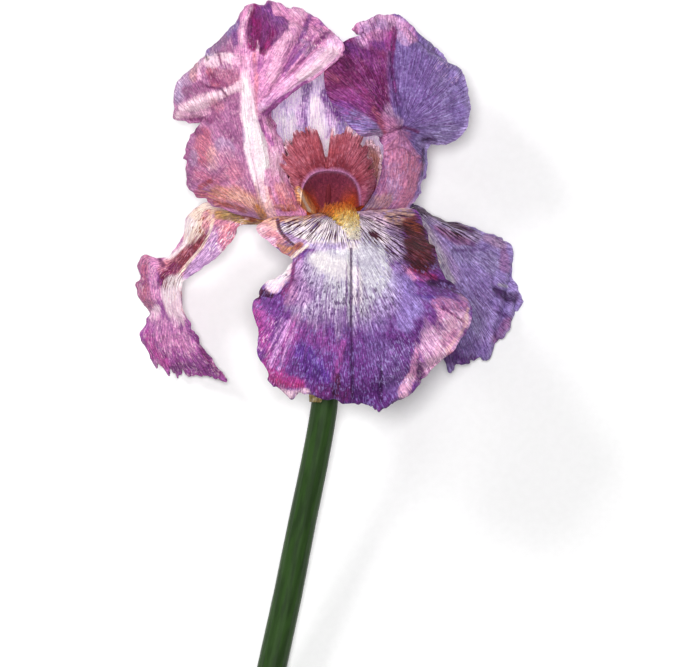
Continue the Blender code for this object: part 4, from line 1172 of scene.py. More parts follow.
    # Painted shade: night violet lines down the sunken centre and down the groove to its right.
    ground("night violet", [(351, 250, 1.5), (351, 320, 1.7), (353, 396, 2.4)], 0.85, 0.1)
    ground("violet", [(357, 254, 0.3), (358, 300, 1.2), (358, 340, 1.4)], 0.5, 0.3)
    ground("violet", [(346, 262, 0.2), (346, 300, 1.1), (344, 340, 1.6)], 0.6, 0.3)
    ground("night violet", [(381, 366, 1.6), (380, 400, 2.4)], 0.8, 0.2)
    paint.rim("ground", "night violet", 1.6, 0.6, only=paint.near(335, 400, 70))
    stripe("maroon", [(276, 222, 16), (318, 229, 14), (350, 230, 15), (372, 232, 16), (392, 238, 20)], 1.0)
    stripe("rust", [(262, 220, 10), (286, 215, 6), (302, 217, 3)], 0.9)
    stripe("dark maroon", [(400, 226, 16), (424, 244, 20), (430, 266, 14)], 1.0)
    stripe("dark maroon", [(398, 250, 7), (408, 266, 6)], 1.0)
    stripe("violet", [(322, 310, 26), (354, 322, 26), (384, 312, 22)], 0.6, 0.5)
    stripe("deep violet", [(300, 350, 34), (356, 376, 30), (392, 350, 22)], 0.6)
    stripe("violet", [(268, 340, 24)], 0.45)
    stripe("mauve", [(446, 330, 18), (424, 368, 14)], 0.5)
    paint.wash("vein", "deep violet", 0.55)
    vein("shade lavender", [(322, 264, 18), (370, 272, 24)], 0.15)
    vein("magenta", [(446, 330, 18), (424, 368, 14)], 0.6)
    vein("magenta", [(270, 380, 8), (300, 384, 7)], 0.4)
    paint.wash("fleck", "periwinkle", 0.45)
    fleck("bloom lavender", [(400, 350, 14), (392, 372, 14)], 0.6, 0.5)
    fleck("pink lilac", [(278, 334, 13), (270, 352, 12)], 0.6, 0.7)
    fleck("smoky violet", [(300, 280, 13), (330, 304, 20), (380, 306, 20), (400, 286, 9)], 0.7, 0.6)
    fleck("deep violet", [(304, 300, 12), (326, 312, 12), (344, 318, 10)], 0.8, 0.6)
    fleck("deep violet", [(306, 262, 5), (304, 274, 8)], 0.8, 0.5)
    fleck("dark maroon", [(300, 238, 6), (312, 240, 5)], 0.5, 0.4)
    fleck("dark maroon", [(370, 226, 12), (388, 238, 13)], 0.4, 0.3)
    fleck("deep violet", [(392, 256, 7), (404, 274, 7)], 0.8)
    fleck("blush", [(446, 330, 20), (424, 368, 14)], 0.3)
    fleck("bright orchid", [(268, 378, 9), (284, 384, 8), (302, 386, 7)], 0.25)
    fleck("violet", [(316, 259, 8), (340, 268, 11), (366, 262, 16)], 0.06, 0.3)
    vein("old rose", [(412, 234, 8), (420, 256, 10)], 0.35)
    fleck("rose", [(266, 230, 9), (280, 242, 6)], 0.2)
    stripe("rose", [(262, 228, 7), (272, 234, 8), (284, 246, 7)], 0.35)
    vein("rose", [(262, 228, 7), (272, 234, 8), (284, 246, 7)], 0.4)
    vein("blush", [(288, 265, 6), (272, 284, 9)], 0.1)
    fleck("maroon", [(410, 226, 12), (420, 256, 14)], 0.5)
    return paint


def paint_fall_right(reading):
    """Blue lavender with long veins, whitish by the claw and brown along its upper edge."""
    paint = Paint(reading, "periwinkle", 5)
    ground = paint.brush("ground")
    stripe = paint.brush("stripe")
    paint.wash("ground", "bloom lavender", 0.35)
    ground("pale lavender", [(462, 252, 12), (484, 256, 12), (492, 268, 9)], 0.65, 0.5)
    # Painted highlight: a pale lavender streak.
    ground("pale lavender", [(474, 306, 7), (478, 330, 7)], 0.8, 0.5)
    ground("blue lavender", [(486, 288, 12), (500, 312, 12)], 0.5, 0.6)
    ground("lavender", [(478, 350, 12), (462, 352, 10)], 0.7)
    ground("cool white", [(420, 222, 7), (430, 244, 9), (440, 268, 9), (450, 282, 5)], 0.9, 0.4)
    ground("dusty lilac", [(430, 226, 5), (444, 250, 5), (456, 278, 5)], 0.4, 0.7)
    ground("dusty lilac", [(488, 238, 5), (503, 244, 5)], 0.8)
    ground("mauve", [(505, 252, 4), (506, 268, 5)], 0.5, 0.5)
    # Painted shade in the dark fold, with a painted highlight of cool white along its crease.
    ground("night violet", [(496, 290, 3), (508, 296, 5), (516, 297, 6)], 0.85, 0.3)
    ground("cool white", [(500, 284, 1.4), (508, 286, 1.8)], 0.9, 0.1)
    # Painted shade: deep violet in the dip near the lower edge.
    ground("deep violet", [(448, 352, 10), (462, 364, 9), (474, 360, 6)], 0.85, 0.3)
    ground("lilac grey", [(414, 210, 5), (434, 218, 7), (456, 228, 8), (476, 238, 6)], 0.9)
    ground("maroon", [(413, 209, 3), (430, 214, 3), (452, 223, 3), (474, 232, 2)], 0.8, 0.5)
    ground("heather", [(436, 228, 4), (460, 240, 5), (474, 243, 3)], 0.75, 0.5)
    ground("deep violet", [(452, 250, 1.5), (472, 250, 1.8), (486, 248, 1.5)], 0.6, 0.3)
    ground("deep violet", [(478, 300, 1.2), (498, 312, 1.6), (508, 316, 1.6)], 0.7, 0.2)
    ground("heather", [(497, 338, 5), (510, 322, 5)], 0.7, 0.4)
    stripe("dark maroon", [(414, 212, 7), (445, 224, 11), (474, 238, 8)], 0.95)
    paint.wash("vein", "deep violet", 0.65)
    stripe("violet", [(480, 270, 26), (480, 320, 26), (460, 350, 14)], 0.45)
    stripe("dusty lilac", [(422, 230, 9), (440, 266, 10)], 0.5)
    paint.wash("fleck", "pale lavender", 0.22)
    ground("cream", [(417, 216, 1), (424, 230, 1.3), (432, 246, 1.3), (440, 262, 1)], 0.6, 0.1)
    ground("bloom lavender", [(480, 300, 8), (492, 326, 8), (480, 338, 6)], 0.55, 0.7)
    ground("lavender", [(474, 244, 6), (486, 246, 6)], 0.4, 0.5)
    paint.rim("ground", "pale lavender", 2.5, 0.5, only=1 - ramp(paint.down, 330, 345))
    paint.rim("ground", "night violet", 1.5, 0.5, only=ramp(paint.down, 330, 345))
    return paint


def paint_fall_left(reading):
    """A twisted blade: a yellow haft, a brown netted strip, a pink flap and a hanging fan."""
    paint = Paint(reading, "mauve", 6)
    ground, stripe, vein, fleck = map(paint.brush, LAYERS)
    paint.wash("ground", "orchid", 0.2)
    hanging = ramp(reading.v, 0.6, 0.68)
    haft = 1 - ramp(reading.v, 0.45, 0.55)
    paint.lay("ground", "magenta", 0.8, hanging)
    ground("rosy mauve", [(262, 224, 8), (234, 232, 10), (222, 244, 10)])
    ground("rose", [(234, 226, 6), (228, 238, 6)], 0.8, 0.5)
    ground("lilac", [(212, 252, 9), (198, 264, 8), (186, 276, 6)], 0.95, 0.3)
    ground("lilac", [(214, 236, 4), (208, 246, 5)], 0.8)
    ground("khaki", [(219, 214, 5), (230, 215, 6), (246, 219, 6), (262, 222, 5)], 0.9, soft=0.2)
    ground("cream", [(204, 207, 4), (220, 208, 2.5), (232, 209, 1.5)], 0.9)
    ground("olive", [(222, 217, 2.5), (238, 219, 3), (252, 223, 3)], 0.85, 0.3)
    ground("rust", [(244, 213, 4), (252, 219, 4)], 0.85, 0.6)
    ground("amber", [(258, 215, 4), (266, 219, 5), (286, 222, 6)], 0.9)
    ground("cream", [(206, 212, 8), (196, 220, 9), (192, 238, 9)], soft=0.25)
    ground("peach", [(208, 214, 4), (206, 226, 4)], 0.7, 0.4)
    ground("snow", [(190, 224, 7), (193, 238, 7), (182, 252, 5), (168, 260, 4)], 0.9, 0.4)
    ground("rose", [(206, 214, 3), (203, 226, 4)], 0.6, 0.9)
    ground("brick", [(204, 238, 4), (195, 248, 6), (182, 260, 8), (168, 274, 9)], 0.95, 0.4)
    ground("cream", [(198, 230, 5), (192, 240, 4)], 0.9, 0.5)
    ground("oxblood", [(200, 242, 2.5), (188, 256, 4), (174, 270, 8)], 0.7, 0.6)
    ground("wine", [(176, 268, 5), (168, 277, 8), (160, 286, 6)], 0.8, 0.3)
    ground("rose", [(166, 262, 3), (158, 270, 3)], 0.8, 0.5)
    ground(
        "cream", [(213, 220, 1.8), (211, 230, 1.4), (203, 246, 1.4), (186, 266, 1.6), (178, 276, 1.6)],
        ragged=0.1,
    )
    ground("rosy mauve", [(142, 260, 8), (141, 282, 8), (146, 304, 8)])
    ground("old rose", [(143, 266, 3), (144, 290, 4), (142, 298, 3)], 0.7, 0.5)
    ground("orchid", [(154, 262, 5), (152, 280, 4), (156, 296, 5)], 0.8, 0.4)
    ground("deep plum", [(158, 258, 2), (163, 266, 2)], 0.8)
    ground("snow", [(176, 282, 7), (173, 296, 11), (175, 308, 8)], ragged=0.5)
    ground("blush", [(173, 300, 10), (177, 316, 8)], 0.85, 0.8)
    ground("blush", [(156, 308, 4), (153, 316, 5)], 0.95)
    ground("orchid", [(160, 322, 8), (168, 336, 12), (188, 346, 8)], 0.7, 0.8)
    ground("hot magenta", [(146, 334, 5), (152, 350, 5), (164, 364, 5)], 0.5, 0.6)
    ground("grape", [(176, 368, 6), (194, 370, 7), (214, 375, 6)], 0.7, 0.7)
    ground("wine", [(196, 340, 2), (210, 364, 3), (220, 374, 4)], 0.7, 0.3)
    ground("amber", [(212, 212, 3), (220, 212, 3)], 0.3, 0.5)
    ground("salmon", [(216, 222, 4), (226, 226, 5)], 0.35, 0.5)
    ground("snow", [(170, 284, 5), (172, 294, 6)], 0.5, 0.5)
    paint.lay("vein", "violet", 0.6, hanging)
    paint.lay("vein", "heather", 0.5, 1 - hanging)
    vein("rust", [(176, 284, 10), (174, 304, 10)], 0.35)
    paint.lay("stripe", "violet", 0.35, hanging)
    stripe("rust", [(196, 218, 9), (192, 236, 9)], 0.35)
    stripe("oxblood", [(206, 234, 5), (188, 256, 8), (168, 278, 10)], 0.9)
    stripe("rust", [(246, 215, 5), (258, 219, 5)], 0.9)
    stripe("plum", [(160, 350, 18), (200, 366, 14)], 0.5)
    paint.lay("fleck", "blush", 0.3, hanging)
    fleck("blush", [(238, 230, 12), (220, 244, 14)], 1.0)
    fleck("rust", [(203, 216, 8), (196, 232, 8)], 0.9, only=haft)
    fleck("rosy mauve", [(190, 236, 7), (184, 250, 6)], 0.5, only=haft)
    fleck("rose", [(200, 244, 6), (174, 268, 8)], 0.7)
    paint.rim("ground", "wine", 1.4, 0.4, only=hanging)
    return paint


class Shade:
    """A material in the making: its shader, and short ways to feed it."""

    def __init__(self, name, roughness, **fixed):
        self.material = bpy.data.materials.new(name)
        self.material.use_nodes = True
        self.tree = self.material.node_tree
        self.shader = self.tree.nodes["Principled BSDF"]
        self.shader.inputs["Roughness"].default_value = roughness
        for socket, value in fixed.items():
            self.shader.inputs[socket.replace("_", " ")].default_value = value

    def feed(self, target, source):
        if isinstance(source, bpy.types.NodeSocket):
            self.tree.links.new(source, target)
        else:
            target.default_value = source

    def add(self, kind, sources=None, **settings):
        node = self.tree.nodes.new("ShaderNode" + kind)
        for setting, value in settings.items():
            setattr(node, setting, value)
        for socket, source in (sources or {}).items():
            self.feed(node.inputs[socket], source)
        return node

    def math(self, operation, one, other=0.0, clamp=False):
        node = self.add("Math", {0: one, 1: other}, operation=operation, use_clamp=clamp)
        return node.outputs[0]

    def mix(self, share, one, other, blend="MIX", **settings):
        sources = {0: share, 6: one, 7: other}
        return self.add("Mix", sources, data_type="RGBA", blend_type=blend, **settings).outputs[2]

    def rise(self, value, start, end):
        """0 up to start and 1 from end, with a soft rise between."""
        sources = {"Value": value, "From Min": start, "From Max": end}
        return self.add("MapRange", sources, interpolation_type="SMOOTHSTEP").outputs["Result"]

    def noise(self, place, scale=1.0, detail=1.0):
        sources = {"Vector": place, "Scale": scale, "Detail": detail}
        return self.add("TexNoise", sources).outputs[0]

    def attribute(self, name):
        return self.add("Attribute", attribute_name=name, attribute_type="GEOMETRY")

    def place(self, stretch=(1, 1, 1)):
        """Object coordinates, stretched."""
        return self.stretched(self.add("TexCoord").outputs["Object"], stretch)

    def stretched(self, place, stretch):
        return self.add("Mapping", {"Vector": place, "Scale": stretch}).outputs[0]

    def branching(self, way, lines, length, seed):
        """Noise from about -1 to 1 drawn out along the veins, branching as the blade widens."""
        parts = self.add("SeparateXYZ", {0: way}).outputs
        total = 0.0
        for step in range(BRANCHINGS + 1):
            apart = self.math("ABSOLUTE", self.math("SUBTRACT", parts[2], step))
            share = self.math("SUBTRACT", 1.0, apart, clamp=True)
            across = self.math("MULTIPLY", parts[0], lines * 2**step)
            along = self.math("DIVIDE", parts[1], length)
            place = self.add("CombineXYZ", {0: across, 1: along, 2: seed + 10.0 * step}).outputs[0]
            centred = self.math("SUBTRACT", self.noise(place, detail=2), 0.5)
            total = self.math("ADD", total, self.math("MULTIPLY", centred, share))
        return self.math("MULTIPLY", total, 4)

    def marked(self, colour, layer, pattern):
        """The colour with a painted layer's marking over it where the pattern shows."""
        paint = self.attribute(layer)
        share = self.math("MULTIPLY", pattern, paint.outputs["Alpha"], clamp=True)
        return self.mix(share, colour, paint.outputs["Color"]), share

    def finish(self, colour, height, depth, strength=0.5):
        self.feed(self.shader.inputs["Base Color"], colour)
        bump = self.add("Bump", {"Height": height, "Strength": strength, "Distance": depth})
        self.feed(self.shader.inputs["Normal"], bump.outputs[0])
        return self.material


# The darkest and lightest tints of the petals' clouds, mottle and cells; the cells' light tints are partly
# painted glints on the crinkled surface
CLOUD_TINTS = ((0.95, 0.87, 0.93, 1), (1.16, 1.08, 1.07, 1))
MOTTLE_TINTS = ((0.9, 0.86, 0.91, 1), (1.1, 1.1, 1.08, 1))
CELL_GRAIN_AND_GLINT_TINTS = ((0.82, 0.78, 0.84, 1), (1.17, 1.17, 1.14, 1))
FIBRE_TINT = (1, 1.12, 0.85)
PETAL_BUMP = 0.00022


def petal_finish(name, stripe_lines, vein_lines, roughness=0.5, contrast=0.22, painted_glow=0.0, grain_depth=1.0):
    """Thin velvety petal: painted ground, bold stripes, fine veins, flecks and a cell grain that is partly
    painted glints.

    The painted glow is painted light: an emission that stands for the light that comes through a petal from
    behind.
    """
    shade = Shade(
        name, roughness, Sheen_Weight=0.02, Sheen_Roughness=0.4, Specular_IOR_Level=0.15,
        Emission_Strength=painted_glow,
    )
    ground = shade.attribute("ground").outputs["Color"]
    way = shade.attribute("way").outputs["Vector"]
    cloud = shade.noise(shade.place(), 160, 3)
    clusters = shade.math("MULTIPLY", shade.math("SUBTRACT", shade.noise(shade.place(), 300, 2), 0.5), 1.6)
    stripes = shade.rise(shade.branching(way, stripe_lines, 20, 3.0), 0.03, 0.16)
    thread = shade.branching(way, vein_lines, 30, 50.0)
    veins = shade.math("SUBTRACT", 1.0, shade.math("MULTIPLY", shade.math("ABSOLUTE", thread), 8), True)
    dots = shade.math("ADD", shade.branching(way, vein_lines * 1.7, 5.0, 90.0), clusters)
    flecks = shade.rise(dots, 0.14, 0.42)
    fibres = shade.rise(shade.branching(way, vein_lines * 2.4, 10.0, 130.0), -0.5, 0.5)
    shaded = shade.mix(shade.rise(cloud, 0.3, 0.7), *CLOUD_TINTS)
    colour = shade.mix(1.0, ground, shaded, "MULTIPLY")
    colour, stripe = shade.marked(colour, "stripe", stripes)
    colour, vein = shade.marked(colour, "vein", veins)
    colour, fleck = shade.marked(colour, "fleck", flecks)
    mottle = shade.rise(shade.noise(shade.place(), 480, 2), 0.34, 0.66)
    cells = shade.rise(shade.noise(shade.place(), 1100, 2), 0.36, 0.64)
    pale = shade.rise(shade.add("SeparateColor", {0: ground}).outputs["Green"], 0.35, 0.9)
    depth = shade.math("SUBTRACT", grain_depth, shade.math("MULTIPLY", pale, 0.75 * grain_depth))
    tints = [(*(1 + sign * contrast * share for share in FIBRE_TINT), 1) for sign in (-1, 1)]
    for pattern, ends in ((fibres, tints), (mottle, MOTTLE_TINTS), (cells, CELL_GRAIN_AND_GLINT_TINTS)):
        glint = shade.mix(1.0, colour, shade.mix(pattern, *ends), "MULTIPLY")
        colour = shade.mix(depth, colour, glint, clamp_result=pattern is cells)
    if painted_glow:
        shade.feed(shade.shader.inputs["Emission Color"], colour)
    grain = shade.noise(shade.place(), 2600, 2)
    rough = shade.math("ADD", roughness - 0.08, shade.math("MULTIPLY", grain, 0.2))
    shade.feed(shade.shader.inputs["Roughness"], rough)
    height = shade.math("SUBTRACT", shade.math("ADD", grain, cells), vein)
    height = shade.math("SUBTRACT", height, shade.math("MULTIPLY", stripe, 0.5))
    height = shade.math("ADD", height, shade.math("ADD", fibres, shade.math("MULTIPLY", fleck, 0.4)))
    return shade.finish(colour, height, PETAL_BUMP, 0.8)


def hair_finish():
    """Soft beard hairs, in the colours painted along the beard."""
    shade = Shade("beard hairs", 0.6, Sheen_Weight=0.1, Specular_IOR_Level=0.2)
    ground = shade.attribute("ground").outputs["Color"]
    patch = shade.noise(shade.place(), 900, 2)
    tone = shade.mix(shade.rise(patch, 0.35, 0.65), (0.8, 0.76, 0.7, 1), (1.12, 1.1, 1.08, 1))
    colour = shade.mix(1.0, ground, tone, "MULTIPLY")
    return shade.finish(colour, patch, 0.00005)


def stalk_finish(name, colours, streak_scale, roughness, wax=0.3):
    """Smooth green skin: streaks along it, pale bloom in patches and tiny pores."""
    dark, middle, pale = ((*linear(colour), 1) for colour in colours)
    shade = Shade(name, roughness, Specular_IOR_Level=0.3)
    way = shade.attribute("way").outputs["Vector"]
    streaky = shade.noise(shade.stretched(way, (streak_scale, streak_scale, 0.03)), 1.0, 3)
    fibres = shade.noise(shade.stretched(way, (2.6, 2.6, 0.05)), 1.0, 2)
    bloom = shade.noise(shade.place(), 60, 4)
    pores = shade.noise(shade.place((1, 0.6, 1)), 1500, 2)
    colour = shade.mix(shade.rise(streaky, 0.36, 0.62), dark, middle)
    colour = shade.mix(shade.math("MULTIPLY", shade.rise(bloom, 0.45, 0.75), wax), colour, pale)
    colour = shade.mix(shade.math("MULTIPLY", shade.rise(fibres, 0.55, 0.7), 0.3), colour, dark)
    ground = shade.attribute("ground").outputs
    colour = shade.mix(ground["Alpha"], colour, ground["Color"])
    rough = shade.math("ADD", roughness - 0.12, shade.math("MULTIPLY", bloom, 0.3))
    shade.feed(shade.shader.inputs["Roughness"], rough)
    height = shade.math("ADD", fibres, shade.math("MULTIPLY", pores, 0.5))
    return shade.finish(colour, height, 0.00012)


def stamen_finish():
    """A waxy filament under a dusty anther, in the colours painted on them."""
    shade = Shade("stamen", 0.6, Specular_IOR_Level=0.3)
    ground = shade.attribute("ground").outputs["Color"]
    dust = shade.noise(shade.place(), 2200, 3)
    tone = shade.mix(shade.rise(dust, 0.35, 0.65), (0.82, 0.78, 0.76, 1), (1.1, 1.08, 1.04, 1))
    return shade.finish(shade.mix(1.0, ground, tone, "MULTIPLY"), dust, 0.00015)


def floor_finish():
    """Pale matt board with a faint grain."""
    shade = Shade("pale board", 0.85, Specular_IOR_Level=0.1)
    grain = shade.noise(shade.place(), 350, 4)
    colour = shade.mix(shade.rise(grain, 0.3, 0.7), (0.94, 0.94, 0.94, 1), (0.96, 0.96, 0.96, 1))
    return shade.finish(colour, grain, 0.00003)


FINISHES = {
    "standard": petal_finish("standard petal", 24, 15),
    # The back standard, in the shade of the others, gets a painted glow: painted light for the light through
    # the petal.
    "shaded standard": petal_finish("shaded standard petal", 24, 15, contrast=0.3, painted_glow=0.24),
    "fall": petal_finish("fall petal", 36, 16, contrast=0.34),
    "style": petal_finish("style arm", 16, 16, 0.55, contrast=0.3, grain_depth=0.6),
    "bract": petal_finish("papery bract", 14, 14, 0.7),
    "beard": hair_finish(),
    "stamen": stamen_finish(),
    "stem": stalk_finish("stem skin", ("deep green", "leaf green", "blue green"), 0.2, 0.5, 0.2),
    "ovary": stalk_finish("ovary skin", ("leaf green", "olive", "khaki"), 0.5, 0.45, 0.4),
}


def give(mesh, name, values):
    """A named attribute on a mesh's points: a vector of three or a colour of four."""
    form = {3: ("FLOAT_VECTOR", "vector"), 4: ("FLOAT_COLOR", "color")}[values.shape[-1]]
    attribute = mesh.attributes.new(name, form[0], "POINT")
    attribute.data.foreach_set(form[1], np.ascontiguousarray(values, np.float32).ravel())


def finished(name, mesh, kind):
    """The piece of a mesh, with its finish, in place of the CAD node of its name."""
    piece = bpy.data.objects.new(name + "_look", mesh)
    mesh.materials.clear()
    mesh.materials.append(FINISHES[kind])
    mesh.shade_smooth()
    bpy.context.scene.collection.objects.link(piece)
    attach(piece, "root")
    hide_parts(name)
    return piece


def grid_form(points, closed=False):
    """A bmesh grid moved onto points (columns, rows, 3), with each vertex's column and row."""
    columns, rows = points.shape[:2]
    steps = columns - 1 + closed
    form = bmesh.new()
    bmesh.ops.create_grid(form, x_segments=steps, y_segments=rows - 1, size=0.5)
    cells = np.empty((len(form.verts), 2), int)
    for index, vertex in enumerate(form.verts):
        column = round((vertex.co.x + 0.5) * steps) % columns
        row = round((vertex.co.y + 0.5) * (rows - 1))
        vertex.co = Vector(points[column, row] * UNIT)
        cells[index] = column, row
    return form, cells


# Blade faces that meet at more than this keep a crisp edge
RIM_ANGLE = math.radians(65)


def mesh_of(form, name):
    mesh = bpy.data.meshes.new(name)
    form.to_mesh(mesh)
    form.free()
    return mesh


def as_mesh(holder):
    """The mesh of an object with its modifiers applied, without the object."""
    bpy.context.scene.collection.objects.link(holder)
    bpy.context.view_layer.update()
    mesh = bpy.data.meshes.new_from_object(holder.evaluated_get(bpy.context.evaluated_depsgraph_get()))
    bpy.data.objects.remove(holder)
    return mesh


def blade(name, kind, paint, thickness):
    """A thin painted blade over a reading's grid, with a crisp rim."""
    form, cells = grid_form(paint.reading.points)
    mesh = mesh_of(form, name)
    column, row = cells.T
    for layer, values in paint.layers.items():
        give(mesh, layer, values[column, row])
    give(mesh, "way", paint.reading.way[column, row])
    holder = bpy.data.objects.new(name + "_sheet", mesh)
    solidify = holder.modifiers.new("Thickness", "SOLIDIFY")
    solidify.thickness = thickness
    solidify.offset = 0
    piece = finished(name, as_mesh(holder), kind)
    piece.data.set_sharp_from_angle(angle=RIM_ANGLE)
    return piece


def stalk(name, kind, rings, ground=None):
    """A closed bar over rings of points (sides, rings, 3), with streaks' way along it.

    The ground is a colour for each ring, with how far it covers the finish's own.
    """
    sides = rings.shape[0]
    form, cells = grid_form(rings, closed=True)
    layer = form.verts.layers.float_vector.new("way")
    centre = rings.mean(0)
    along = np.concatenate([[0], np.cumsum(np.linalg.norm(np.diff(centre, axis=0), axis=1))])
    radius = np.linalg.norm(rings - centre, axis=-1).mean(0)
    for vertex, (column, row) in zip(form.verts, cells):
        angle = 2 * math.pi * column / sides
        vertex[layer] = (radius[row] * math.cos(angle), radius[row] * math.sin(angle), along[row])
    if ground is None:
        ground = np.zeros((rings.shape[1], 4))
    paint = form.verts.layers.float_color.new("ground")
    for vertex, (column, row) in zip(form.verts, cells):
        vertex[paint] = ground[row]
    bmesh.ops.remove_doubles(form, verts=form.verts[:], dist=1e-7)
    open_edges = [edge for edge in form.edges if edge.is_boundary]
    bmesh.ops.holes_fill(form, edges=open_edges, sides=0)
    bmesh.ops.recalc_face_normals(form, faces=form.faces[:])
    piece = finished(name, mesh_of(form, name), kind)
    piece.data.set_sharp_from_angle(angle=RIM_ANGLE)
    return piece


# A style arm's stations: out from the axis, height of its feet, half width, arch height
STYLE_STATIONS = [(3.2, 0, 1.6, 0.8), (12, 11, 7, 6), (30, 18, 19, 21), (56, 24, 29.5, 36)]
ARCH_SQUARENESS = 0.78
LIP_AT = 0.55
# How far the crest reaches past the arch, by the angle round it
CREST_ANGLES = [-90, -74, -62, -55, -41, -26, -17, -10, -6, -3, -0.5, 1, 4, 19, 29, 38, 52, 69, 78, 90]
CREST_REACH = [1, 5, 15, 27, 33, 41, 44, 44, 42, 12, 12, 40, 44, 42, 33, 27, 22, 16, 12, 3]
CREST_LEAN = -8
STYLE_FINE = {"front": (361, 61), "right": (121, 41), "left": (121, 41)}
FRINGE = 9.0


def read_style(turn, size, fine, seed):
    """A style arm: a tunnel over the haft whose end stands up as a fringed two-lobed crest."""
    u, v = np.meshgrid(*(np.linspace(0, 1, lines) for lines in fine), indexing="ij")
    degrees = 180 * (u - 0.5)
    angle = np.radians(degrees)
    stations = curve_through(STYLE_STATIONS, np.minimum(v / LIP_AT, 1))
    out, foot, half_width, arch = (stations[..., k] for k in range(4))
    crest = np.clip((v - LIP_AT) / (1 - LIP_AT), 0, 1)
    reach = np.interp(degrees, CREST_ANGLES, CREST_REACH)
    notches = ramp(wobble(u, 170, seed), -0.45, 0.15) * (0.7 + 0.4 * wobble(u, 40, seed + 1))
    fringe = FRINGE * notches * ramp(reach, 12, 22) * (1 - ramp(degrees, 52, 66))
    reach = crest * reach - fringe * crest**5
    grown = 1 + (size - 1) * np.clip(1.5 * v / LIP_AT, 0, 1)
    pleats = 0.9 * wobble(u, 34, seed + 2) + 0.5 * wobble(u, 80, seed + 3)
    curl = 2.2 * wobble(u, 12, seed + 4) * crest**3
    out = out * grown + CREST_LEAN * crest**2 + 3 * np.sin(math.pi * crest)
    out = out + pleats * np.sqrt(crest) + curl
    lip = 1.3 * np.exp(-(((v - LIP_AT) / 0.02) ** 2))
    out = out + 1.5 * lip
    sine = np.sign(angle) * np.abs(np.sin(angle)) ** ARCH_SQUARENESS
    cosine = np.abs(np.cos(angle)) ** ARCH_SQUARENESS
    side = (half_width * (1 + 0.1 * (angle > 0)) - lip + reach) * sine * grown
    up = foot + (arch - lip + reach) * cosine * grown
    points = about_heart(turn, out, side, up)
    points += 0.3 * (soft_noise(points / 6, seed + 5))[..., None] * normals_of(points)
    width = np.linalg.norm(np.gradient(points, axis=0), axis=-1) / np.gradient(u, axis=0)
    along = steps_along(points)
    margin = (1 - v) * along[:, -1:]
    return Reading(points, u, v, np.stack([u, along, times_branched(width)], -1), margin)


def paint_style(reading, front, seed):
    """Brick red crest with pale fringe tips, a pale lip, and a plum and orange throat."""
    paint = Paint(reading, "brick", seed)
    ground = paint.brush("ground")
    u, v = reading.u, reading.v
    side = np.abs(2 * u - 1)
    crest = ramp(v, LIP_AT, LIP_AT + 0.02)
    paint.lay("ground", "rose", 0.22, crest * (1 - ramp(u, 0.3, 0.55)))
    paint.lay("ground", "rosy mauve", 0.25, crest * ramp(u, 0.5, 0.6))
    paint.lay("ground", "deep brick", 0.8, crest * (1 - ramp(v + 0.08 * paint.ragged, 0.58, 0.76)))
    paint.lay("ground", "oxblood", 0.55, crest * (1 - ramp(v + 0.05 * paint.ragged, 0.57, 0.66)))
    paint.lay("ground", "deep brick", 0.5, crest * ramp(u, 0.66, 0.85))
    paint.lay("ground", "heather", 0.4, crest * ramp(u, 0.8, 0.95))
    paint.lay("ground", "heather", 0.4, crest * (1 - ramp(u, 0.05, 0.2)) * (1 - ramp(v, 0.7, 0.9)))
    paint.lay("ground", "pink brick", 0.5, ramp(v + 0.1 * paint.ragged, 0.82, 1) * (1 - ramp(u, 0.6, 0.8)))
    paint.lay("ground", "blush", 0.85, ramp(v + 0.05 * paint.ragged, 0.95, 1.01) * (1 - ramp(u, 0.7, 0.9)))
    inside = 1 - crest
    paint.lay("ground", "copper", 1, inside)
    paint.lay("ground", "orange", 0.55, inside * ramp(side, 0.6, 0.85) * (1 - ramp(v, 0.35, 0.52)))
    paint.lay("ground", "garnet", 0.95, inside * (1 - ramp(side, 0.3, 0.6)))
    paint.lay(
        "ground", "oxblood", 0.55,
        inside * ramp(v + 0.04 * paint.ragged, 0.36, 0.5) * (1 - ramp(side, 0.5, 0.8)),
    )
    paint.lay("ground", "garnet", 0.6, inside * ramp(v, 0.44, 0.53))
    paint.lay("ground", "plum", 0.3, inside * ramp(v, 0.3, 0.5) * (1 - ramp(side, 0.6, 0.9)))
    paint.lay("ground", "pink brick", 0.12, inside * (1 - ramp(side, 0.5, 0.8)))
    paint.lay("ground", "mauve", 0.95, np.exp(-(((v - LIP_AT) / 0.017) ** 2)))
    if front:
        ground("apricot", [(298, 190, 3), (303, 199, 5), (310, 210, 5)], ragged=0.3)
        ground("cream", [(299, 190, 1.4), (303, 200, 1.6), (309, 211, 1.4)], 0.8, 0.3)
        ground("copper", [(306, 194, 3), (312, 203, 4), (319, 212, 3)], 0.6, 0.4)
    paint.lay("stripe", "deep brick", 0.45, crest)
    paint.lay("vein", "oxblood", 0.6, crest)
    paint.lay("fleck", "rose", 0.3, crest)
    if not front:
        paint.lay("ground", "tan", 0.5, crest)
        paint.lay("ground", "blush", 0.7, crest * ramp(v, 0.8, 1))
    return paint


# Where each beard starts and ends along its fall, its hairs and the way it faces
BEARD_SPAN = {"front": (0.19, 0.48), "right": (0.13, 0.34), "left": (0.10, 0.27)}
BEARD_FACES = {"front": (0, 1, 1), "right": (0.4, 1, -0.4), "left": (-0.6, 1, -0.2)}
BEARD_HAIRS = {"front": 1500, "right": 400, "left": 350}
BEARD_HALF_WIDTHS = {"front": 17.0, "right": 4.0, "left": 4.0}
HAIR_LENGTH = 10.5
HAIR_RADIUS = 0.46
HAIR_POINTS = 5
CORE_RADIUS = 1.5
CORE_RINGS = 24
BEARD_COLOURS = ["copper", "rust", "orange", "orange", "amber", "gold", "primrose", "cream", "snow"]


